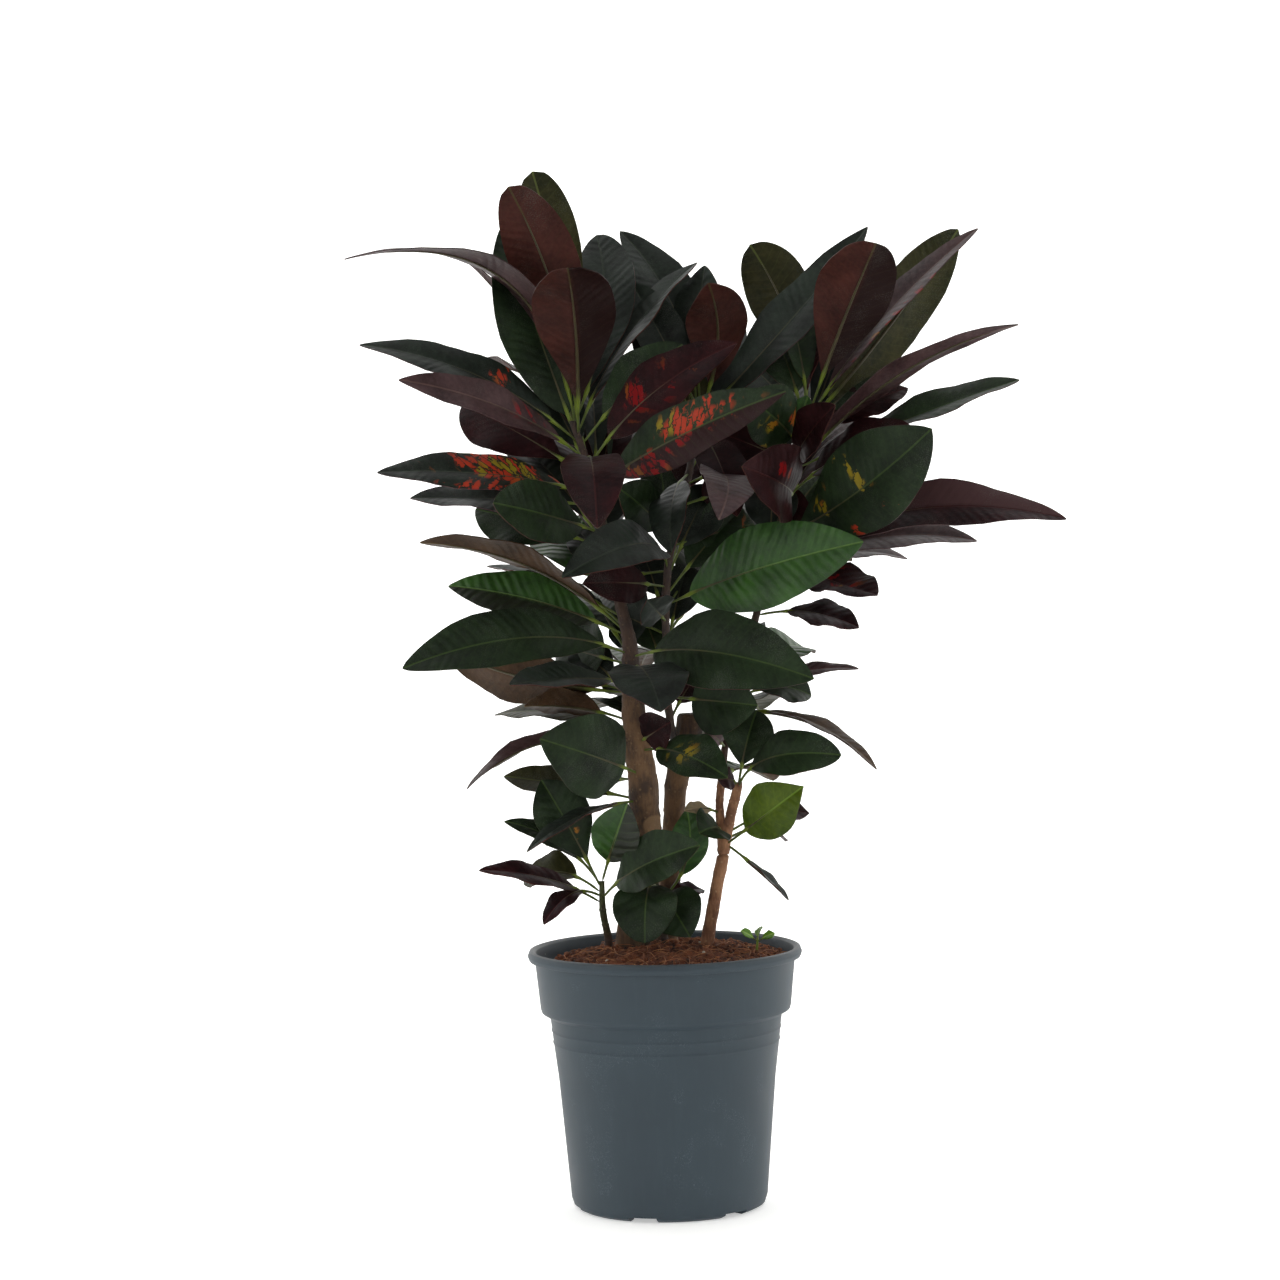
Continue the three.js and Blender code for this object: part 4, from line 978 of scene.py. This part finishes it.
def makePotPlastic():
    material, tree, shader = startMaterial("moulded_polypropylene")
    here = addNode(tree, "TexCoord", {}).outputs["Object"]
    cloud = addNode(tree, "TexNoise", {"Vector": here, "Scale": 14.0, "Detail": 4.0})
    colour = addNode(tree, "Mix", {0: cloud, 6: potPlastic["dark"], 7: potPlastic["light"]},
                     data_type="RGBA")
    tall = addNode(tree, "Mapping", {"Vector": here, "Scale": (1, 1, 0.12)})
    drag = addNode(tree, "TexNoise", {"Vector": tall, "Scale": 240.0, "Detail": 3.0})
    dragMask = addNode(tree, "MapRange", {0: drag, 1: 0.52, 2: 0.78, 3: 0.0, 4: 0.05})
    # scuffs are thin curls a few millimetres long, kept to a few patches
    curl = addNode(tree, "TexNoise", {"Vector": here, "Scale": 170.0, "Detail": 2.0,
                                      "Distortion": 2.5})
    line = addNode(tree, "Math", {0: curl, 1: 0.5}, operation="SUBTRACT")
    thin = addNode(tree, "Math", {0: line}, operation="ABSOLUTE")
    scuff = addNode(tree, "MapRange", {0: thin, 1: 0.0, 2: 0.010, 3: 1.0, 4: 0.0})
    where = addNode(tree, "TexNoise", {"Vector": here, "Scale": 30.0})
    patch = addNode(tree, "MapRange", {0: where, 1: 0.56, 2: 0.66, 3: 0.0, 4: 0.55})
    scuffed = addNode(tree, "Math", {0: scuff, 1: patch}, operation="MULTIPLY")
    # specks of peat and lime: 1 to 2 mm, far apart
    cell = addNode(tree, "TexVoronoi", {"Vector": here, "Scale": 55.0})
    dot = addNode(tree, "MapRange", {0: cell, 1: 0.03, 2: 0.07, 3: 0.7, 4: 0.0})
    shade = addNode(tree, "SeparateColor", {0: cell.outputs["Color"]})
    rare = addNode(tree, "Math", {0: shade, 1: 0.78}, operation="GREATER_THAN")
    dots = addNode(tree, "Math", {0: dot, 1: rare}, operation="MULTIPLY")
    dirt = addNode(tree, "Mix", {0: shade.outputs[1], 6: potPlastic["peatSpeck"],
                                 7: potPlastic["limeSpeck"]}, data_type="RGBA")
    # dust lies on what faces up, such as the lip and the step below the collar
    facing = addNode(tree, "NewGeometry", {})
    up = addNode(tree, "SeparateXYZ", {0: facing.outputs["Normal"]})
    lying = addNode(tree, "MapRange", {0: up.outputs[2], 1: 0.25, 2: 0.95, 3: 0.0, 4: 0.35})
    grit = addNode(tree, "TexNoise", {"Vector": here, "Scale": 320.0, "Detail": 4.0})
    dusty = addNode(tree, "Math", {0: lying, 1: grit}, operation="MULTIPLY")
    # what lies over the plastic, from the lowest to the topmost
    for layer, tint in ((dragMask, potPlastic["drag"]), (scuffed, potPlastic["scuff"]),
                        (dots, dirt), (dusty, potPlastic["dust"])):
        colour = addNode(tree, "Mix", {0: layer, 6: colour, 7: tint}, data_type="RGBA")
    rough = addNode(tree, "MapRange", {0: cloud, 1: 0.3, 2: 0.7, 3: 0.46, 4: 0.60})
    fine = addNode(tree, "TexNoise", {"Vector": here, "Scale": 1300.0, "Detail": 2.0})
    depth = addNode(tree, "Math", {0: scuffed, 1: 0.8, 2: fine}, operation="MULTIPLY_ADD")
    bump = addNode(tree, "Bump", {"Height": depth, "Strength": 0.18, "Distance": 0.2 * mm})
    fillSockets(tree, shader, {"Base Color": colour, "Roughness": rough, "Normal": bump,
                               "Specular IOR Level": potPlastic["gloss"]})
    return material


# a profile of radius and height turned once round the Z axis
def spinProfile(bm, profile, steps):
    verts = [bm.verts.new((radius * mm, 0, height * mm)) for radius, height in profile]
    edges = [bm.edges.new(pair) for pair in zip(verts, verts[1:])]
    bmesh.ops.spin(bm, geom=verts + edges, cent=(0, 0, 0), axis=(0, 0, 1), angle=2 * math.pi,
                   steps=steps, use_merge=True)
    bmesh.ops.remove_doubles(bm, verts=bm.verts, dist=1e-6)
    bmesh.ops.recalc_face_normals(bm, faces=bm.faces)


# what is cut out of the pot: the drain holes in its floor and the notches in its foot ring
def makeCutters(form):
    bm = bmesh.new()
    for hole in range(form["holes"]):
        angle = hole / form["holes"] * 2 * math.pi
        middle = Matrix.Translation(Vector((*onCircle(angle, form["holeCircle"]), 2)) * mm)
        bmesh.ops.create_cone(bm, cap_ends=True, segments=24, radius1=form["holeRadius"] * mm,
                              radius2=form["holeRadius"] * mm, depth=20 * mm, matrix=middle)
    outwards = Matrix.Translation((form["footRadius"] * mm, 0, 0))
    size = Matrix.Diagonal((form["notchDepth"] * mm, form["notchWidth"] * mm,
                            form["notchHeight"] * 2 * mm, 1))
    for notch in range(form["notches"]):
        bearing = math.radians(form["firstNotch"] + notch / form["notches"] * 360)
        turn = Matrix.Rotation(bearing, 4, "Z")
        bmesh.ops.create_cube(bm, size=1, matrix=turn @ outwards @ size)
    return addMesh(bm, "pot_cutters")


def makePot():
    form = potForm
    bm = bmesh.new()
    spinProfile(bm, potProfile, form["steps"])
    # ease the hard corners of the section, as a moulding has them
    corners = [edge for edge in bm.edges if edge.is_manifold
               and edge.calc_face_angle(0) > math.radians(form["sharp"])
               and abs(edge.verts[0].co.z - edge.verts[1].co.z) < 1e-6]
    bmesh.ops.bevel(bm, geom=corners, offset=form["round"] * mm, segments=2, profile=0.5,
                    affect="EDGES", material=-1)
    bmesh.ops.recalc_face_normals(bm, faces=bm.faces)
    cutters = makeCutters(form)
    pot = finishPiece(bm, "nursery_pot", [makePotPlastic()], "pot")
    cut = pot.modifiers.new("holes", "BOOLEAN")
    cut.operation = "DIFFERENCE"
    cut.solver = "EXACT"
    cut.object = cutters
    bpy.context.view_layer.update()
    finished = pot.evaluated_get(bpy.context.evaluated_depsgraph_get())
    cutMesh = bpy.data.meshes.new_from_object(finished)
    pot.modifiers.clear()
    pot.data = cutMesh
    bpy.data.objects.remove(cutters)
    smooth = bmesh.new()
    smooth.from_mesh(cutMesh)
    shadeSmooth(smooth, 32)
    smooth.to_mesh(cutMesh)
    smooth.free()


makePot()
print("pot is turned")


# the soil: edge is how high it stands at the wall, and fades is how far in the crumbs die out
soilForm = {"edge": 189, "mound": 11, "lowSide": 5, "radius": 97, "topRadius": 96.2, "steps": 180,
            "rings": 52, "crumb": 1.3, "fades": 4}
# half section below its surface: radius and height
soilProfile = [(0, 7.2), (70.3, 7.2), (73, 10), (80.8, 100), (86.6, 147.8), (86.8, 150),
               (92.9, 153.4), (93.7, 155.4)]


# how far the surface stands above its edge: a mound between the stems, lower at the left wall
def soilRise(x, y):
    away = min(1, math.hypot(x, y) / soilForm["radius"])
    mound = soilForm["mound"] * (1 - away * away)
    lowSide = soilForm["lowSide"] * max(0, -x / soilForm["radius"]) * away
    uneven = (1.4 * math.sin(x * 0.13 + 1) * math.cos(y * 0.11)
              + 0.9 * math.sin(x * 0.31 - y * 0.27))
    return mound - lowSide + uneven


def soilTop(x, y):
    return soilForm["edge"] + soilRise(x, y)


# Peat mixed with coir dust: crumbly, dull, reddish brown where dry and nearly black in damp
# patches and in the hollows, in crumbs of 1 to 4 mm. In the hollows the dark is painted shade: it
# follows the low spots of the crumb bump.
peatLook = {"darkPeat": "#190e09", "dry": "#7a472e", "coirDust": "#8d5a3c", "rough": 0.95,
            "gloss": 0.25}


def makePeat():
    material, tree, shader = startMaterial("dry_peat")
    here = addNode(tree, "TexCoord", {}).outputs["Object"]
    crumb = addNode(tree, "TexNoise", {"Vector": here, "Scale": 330.0, "Detail": 6.0,
                                       "Roughness": 0.7})
    darkPeat = addNode(tree, "TexNoise", {"Vector": here, "Scale": 38.0, "Detail": 3.0})
    # the dark tone follows the damp clouds and the low spots of the crumb bump; in those hollows it
    # is painted shade
    share = addNode(tree, "Math", {0: darkPeat, 1: 0.9, 2: crumb}, operation="MULTIPLY_ADD")
    mask = addNode(tree, "MapRange", {0: share, 1: 0.72, 2: 1.14})
    colour = addNode(tree, "Mix", {0: mask, 6: peatLook["darkPeat"], 7: peatLook["dry"]},
                     data_type="RGBA")
    grain = addNode(tree, "TexVoronoi", {"Vector": here, "Scale": 420.0})
    bright = addNode(tree, "MapRange", {0: grain, 1: 0.04, 2: 0.2, 3: 0.5, 4: 0.0})
    colour = addNode(tree, "Mix", {0: bright, 6: colour, 7: peatLook["coirDust"]}, data_type="RGBA")
    bump = addNode(tree, "Bump", {"Height": crumb, "Strength": 1.0, "Distance": 2.0 * mm})
    fillSockets(tree, shader, {"Base Color": colour, "Normal": bump, "Roughness": peatLook["rough"],
                               "Specular IOR Level": peatLook["gloss"]})
    return material


# What lies loose on the soil. Peat crumbs are dull and dusty, chips of composted bark are dark and
# dry, coir fibres are ginger hairs with a faint shine, and perlite is blown rock, chalky and pale.
# Patches is how many clouds of tone there are to a metre.
litterLooks = {
    "peat_crumb": {"dark": "#24130c", "light": "#844e32", "patches": 120, "rough": 0.95},
    "bark_chip": {"dark": "#1a110c", "light": "#5f3d29", "patches": 60, "rough": 0.9},
    "coir_fibre": {"dark": "#4d2b1b", "light": "#b0764c", "patches": 75, "rough": 0.8},
    "perlite": {"dark": "#8f887a", "light": "#b5ad9c", "patches": 500, "rough": 0.9},
}


def makeLitter(name):
    look = litterLooks[name]
    material, tree, shader = startMaterial(name)
    here = addNode(tree, "TexCoord", {}).outputs["Object"]
    grain = addNode(tree, "TexNoise", {"Vector": here, "Scale": look["patches"], "Detail": 4.0})
    share = addNode(tree, "MapRange", {0: grain, 1: 0.3, 2: 0.7})
    colour = addNode(tree, "Mix", {0: share, 6: look["dark"], 7: look["light"]}, data_type="RGBA")
    bump = addNode(tree, "Bump", {"Height": grain, "Strength": 0.6, "Distance": 0.4 * mm})
    fillSockets(tree, shader, {"Base Color": colour, "Normal": bump, "Roughness": look["rough"]})
    return material


def makeSoil():
    bm = bmesh.new()
    rings = soilForm["rings"]
    top = [(soilForm["topRadius"] * (1 - ring / rings), soilForm["edge"])
           for ring in range(rings + 1)]
    spinProfile(bm, soilProfile + top, soilForm["steps"])
    for vert in bm.verts:
        if vert.co.z > (soilForm["edge"] - 0.01) * mm:
            x, y = vert.co.x / mm, vert.co.y / mm
            spot = Vector((x, y, 0))
            crumbs = noise.noise(spot * 0.16) + 0.8 * noise.noise(spot * 0.45 + Vector((7, 3, 1)))
            inside = min(1, (soilForm["radius"] - math.hypot(x, y)) / soilForm["fades"])
            vert.co.z = (soilTop(x, y) + soilForm["crumb"] * crumbs * inside) * mm
    bm.normal_update()
    shadeSmooth(bm, 60)
    finishPiece(bm, "peat_soil", [makePeat()], "soil")


# a place on the soil by the golden angle, clear of the wall
def soilSpot(number, count, seed, reach):
    angle = number * goldenAngle + seed
    away = reach * math.sqrt((number + 0.5 + 0.4 * draw(number, seed)) / (count + 1))
    return onCircle(angle, away)


# a place that stands a little above the soil there
def aboveSoil(x, y, lift):
    return Matrix.Translation(Vector((x, y, soilTop(x, y) + lift)) * mm)


crumbForm = {"count": 900, "reach": 94, "least": 0.7, "spread": 2.3}


def makeCrumbs():
    bm = bmesh.new()
    flat = Matrix.Diagonal((1, 0.8, 0.6, 1))
    for number in range(crumbForm["count"]):
        x, y = soilSpot(number, crumbForm["count"], 31, crumbForm["reach"])
        size = crumbForm["least"] + crumbForm["spread"] * draw(number, 32) ** 2
        axis = (draw(number, 34), 0.4, draw(number, 35))
        spin = Matrix.Rotation(wholeTurn * draw(number, 33), 4, axis)
        place = aboveSoil(x, y, size * 0.3)
        bmesh.ops.create_icosphere(bm, subdivisions=1, radius=size * mm,
                                   matrix=place @ spin @ flat)
    shadeSmooth(bm, 70)
    finishPiece(bm, "peat_crumbs", [makeLitter("peat_crumb")], "soil")


# chips of bark: the first few are large and thick, the others are splinters
chipForm = {"count": 60, "large": 10, "largeReach": 84, "reach": 92, "lift": 0.4}


def makeChips():
    form = chipForm
    bm = bmesh.new()
    for number in range(form["count"]):
        if number < form["large"]:
            angle = number * goldenAngle
            away = form["largeReach"] * math.sqrt((number + 0.5) / form["large"])
            x, y = onCircle(angle, away)
            long, wide = 6 + 7 * draw(number, 21), 3 + 3 * draw(number, 22)
            tilt, turn, high = 0.7 * (draw(number, 23) - 0.5), wholeTurn * draw(number, 24), 4.4
        else:
            x, y = soilSpot(number, form["count"], 41, form["reach"])
            long, wide = 3 + 8 * draw(number, 42), 1.6 + 2.6 * draw(number, 43)
            tilt, turn, high = 1.0 * (draw(number, 44) - 0.5), wholeTurn * draw(number, 45), 2.0
        place = aboveSoil(x, y, form["lift"])
        turnBy = Matrix.Rotation(turn, 4, "Z") @ Matrix.Rotation(tilt, 4, "X")
        before = set(bm.verts)
        made = bmesh.ops.create_cube(bm, size=1, matrix=Matrix.Diagonal((long, wide, high, 1)))
        edges = list(dict.fromkeys(edge for vert in made["verts"] for edge in vert.link_edges))
        bmesh.ops.subdivide_edges(bm, edges=edges, cuts=2, use_grid_fill=True)
        for vert in set(bm.verts) - before:
            spot = vert.co + Vector((number * 9, 0, 0))
            vert.co *= 0.86 + 0.34 * noise.noise(spot * 0.5)
            vert.co += noise.noise_vector(spot * 0.9) * 0.35
            vert.co = place @ turnBy @ (vert.co * mm)
    bmesh.ops.recalc_face_normals(bm, faces=bm.faces)
    shadeSmooth(bm, 35)
    finishPiece(bm, "bark_chips", [makeLitter("bark_chip")], "soil")


# coir fibres: bowed hairs, a few of them standing up in the middle; limit keeps them off the wall
fibreForm = {"count": 330, "reach": 92, "limit": 95, "around": 4, "along": 7, "least": 7,
             "spread": 20, "thin": 0.18, "thicker": 0.2}


def makeFibres():
    form = fibreForm
    bm = bmesh.new()
    for number in range(form["count"]):
        x, y = soilSpot(number, form["count"], 51, form["reach"])
        turn = wholeTurn * draw(number, 52)
        long = form["least"] + form["spread"] * draw(number, 53) ** 1.5
        bend = 9 * (draw(number, 54) - 0.5)
        lift = 0.6 + 3.2 * draw(number, 55) ** 3
        thick = form["thin"] + form["thicker"] * draw(number, 56)

        def place(around, along):
            reach = long * (along - 0.5)
            bow = bend * (1 - 4 * (along - 0.5) ** 2)
            middleX = x + math.cos(turn) * reach - math.sin(turn) * bow
            middleY = y + math.sin(turn) * reach + math.cos(turn) * bow
            away = math.hypot(middleX, middleY)
            if away > form["limit"]:
                middleX, middleY = middleX * form["limit"] / away, middleY * form["limit"] / away
            height = soilTop(middleX, middleY) + 0.5 + lift * math.sin(math.pi * along)
            radius = thick * min(1, 5 * along, 5 * (1 - along))
            angle = around * 2 * math.pi
            return Vector((middleX - math.sin(turn) * math.cos(angle) * radius,
                           middleY + math.cos(turn) * math.cos(angle) * radius,
                           height + math.sin(angle) * radius)) * mm

        addTube(bm, form["around"], form["along"], place)
    shadeSmooth(bm, 80)
    finishPiece(bm, "coir_fibres", [makeLitter("coir_fibre")], "soil")


perliteForm = {"count": 12, "reach": 90, "least": 0.5, "spread": 0.8, "rough": 0.18}


def makePerlite():
    bm = bmesh.new()
    for number in range(perliteForm["count"]):
        x, y = soilSpot(number, perliteForm["count"], 61, perliteForm["reach"])
        size = perliteForm["least"] + perliteForm["spread"] * draw(number, 62)
        place = aboveSoil(x, y, size * 0.6)
        bmesh.ops.create_icosphere(bm, subdivisions=2, radius=size * mm, matrix=place)
    for vert in bm.verts:
        vert.co += noise.noise_vector(vert.co * 900) * perliteForm["rough"] * mm
    shadeSmooth(bm, 60)
    finishPiece(bm, "perlite_grains", [makeLitter("perlite")], "soil")


makeSoil()
makeCrumbs()
makeChips()
makeFibres()
makePerlite()
print("soil is filled")


# Matt seamless paper: no sheen, and a glow that grows from the front of the room to its back.
# Sizes are in metres, and aim is the spot that the softboxes look at.
studio = {"paper": "#f3f3f1", "flat": 2.7, "curve": 1.3, "high": 4.2, "rings": 6, "bends": 12,
          "steps": 96, "backGlow": 0.75, "frontGlow": 0.12, "glowReach": 2.0, "world": 0.12,
          "aim": (0, 0, 0.42)}


# a pale paper floor that sweeps up into a round wall
def makeStudio():
    bm = bmesh.new()
    rings, bends = studio["rings"], studio["bends"]
    profile = [(studio["flat"] * ring / rings / mm, 0) for ring in range(rings + 1)]
    for step in range(1, bends + 1):
        angle = step / bends * math.pi / 2
        profile.append(((studio["flat"] + studio["curve"] * math.sin(angle)) / mm,
                        studio["curve"] * (1 - math.cos(angle)) / mm))
    profile.append(((studio["flat"] + studio["curve"]) / mm, studio["high"] / mm))
    spinProfile(bm, profile, studio["steps"])
    bmesh.ops.reverse_faces(bm, faces=[face for face in bm.faces if face.normal.z < -0.01])
    shadeSmooth(bm, 60)
    floor = addMesh(bm, "studio_floor")
    material, tree, shader = startMaterial("matt_paper")
    here = addNode(tree, "TexCoord", {}).outputs["Object"]
    axes = addNode(tree, "SeparateXYZ", {0: here})
    glow = addNode(tree, "MapRange",
                   {0: axes.outputs[1], 1: -studio["glowReach"], 2: studio["glowReach"],
                    3: studio["frontGlow"], 4: studio["backGlow"]})
    fillSockets(tree, shader, {"Base Color": studio["paper"], "Roughness": 0.95,
                               "Specular IOR Level": 0.1, "Emission Color": (1, 1, 1, 1),
                               "Emission Strength": glow})
    material.cycles.emission_sampling = "NONE"
    floor.data.materials.append(material)


# softboxes: name, place, width, height, power, all turned to the middle of the plant
softboxes = [
    ("top_softbox", (0.0, 0.7, 2.3), 3.2, 2.6, 32),
    ("left_softbox", (-2.1, -1.4, 1.4), 1.2, 1.8, 7),
    ("right_softbox", (2.2, -1.0, 1.3), 1.2, 1.8, 5),
]


def makeLights():
    for name, place, width, height, power in softboxes:
        lamp = bpy.data.lights.new(name, "AREA")
        lamp.shape = "RECTANGLE"
        lamp.size = width
        lamp.size_y = height
        lamp.energy = power
        box = addObject(name, lamp)
        box.location = place
        towards = Vector(studio["aim"]) - Vector(place)
        box.rotation_euler = towards.to_track_quat("-Z", "Y").to_euler()
    world = bpy.data.worlds.new("pale_studio")
    world.use_nodes = True
    background = world.node_tree.nodes["Background"]
    background.inputs["Color"].default_value = (1, 1, 1, 1)
    background.inputs["Strength"].default_value = studio["world"]
    bpy.context.scene.world = world
    bpy.context.scene.view_settings.view_transform = "Standard"


# the camera, worked out from the pot's rim, lip and foot ring in a square picture of 1280 pixels
cameraForm = {"place": (-0.014, -2.845, 0.573), "down": 2.79, "roll": -1.2, "lens": 105.1}


def makeCamera():
    lens = bpy.data.cameras.new("photo_camera")
    lens.sensor_width = 36
    lens.lens = cameraForm["lens"]
    camera = addObject("photo_camera", lens)
    look = Matrix.Rotation(math.radians(90 - cameraForm["down"]), 4, "X")
    roll = Matrix.Rotation(math.radians(cameraForm["roll"]), 4, "Z")
    camera.matrix_world = Matrix.Translation(cameraForm["place"]) @ look @ roll
    bpy.context.scene.camera = camera


makeStudio()
makeLights()
makeCamera()
print("studio is set")
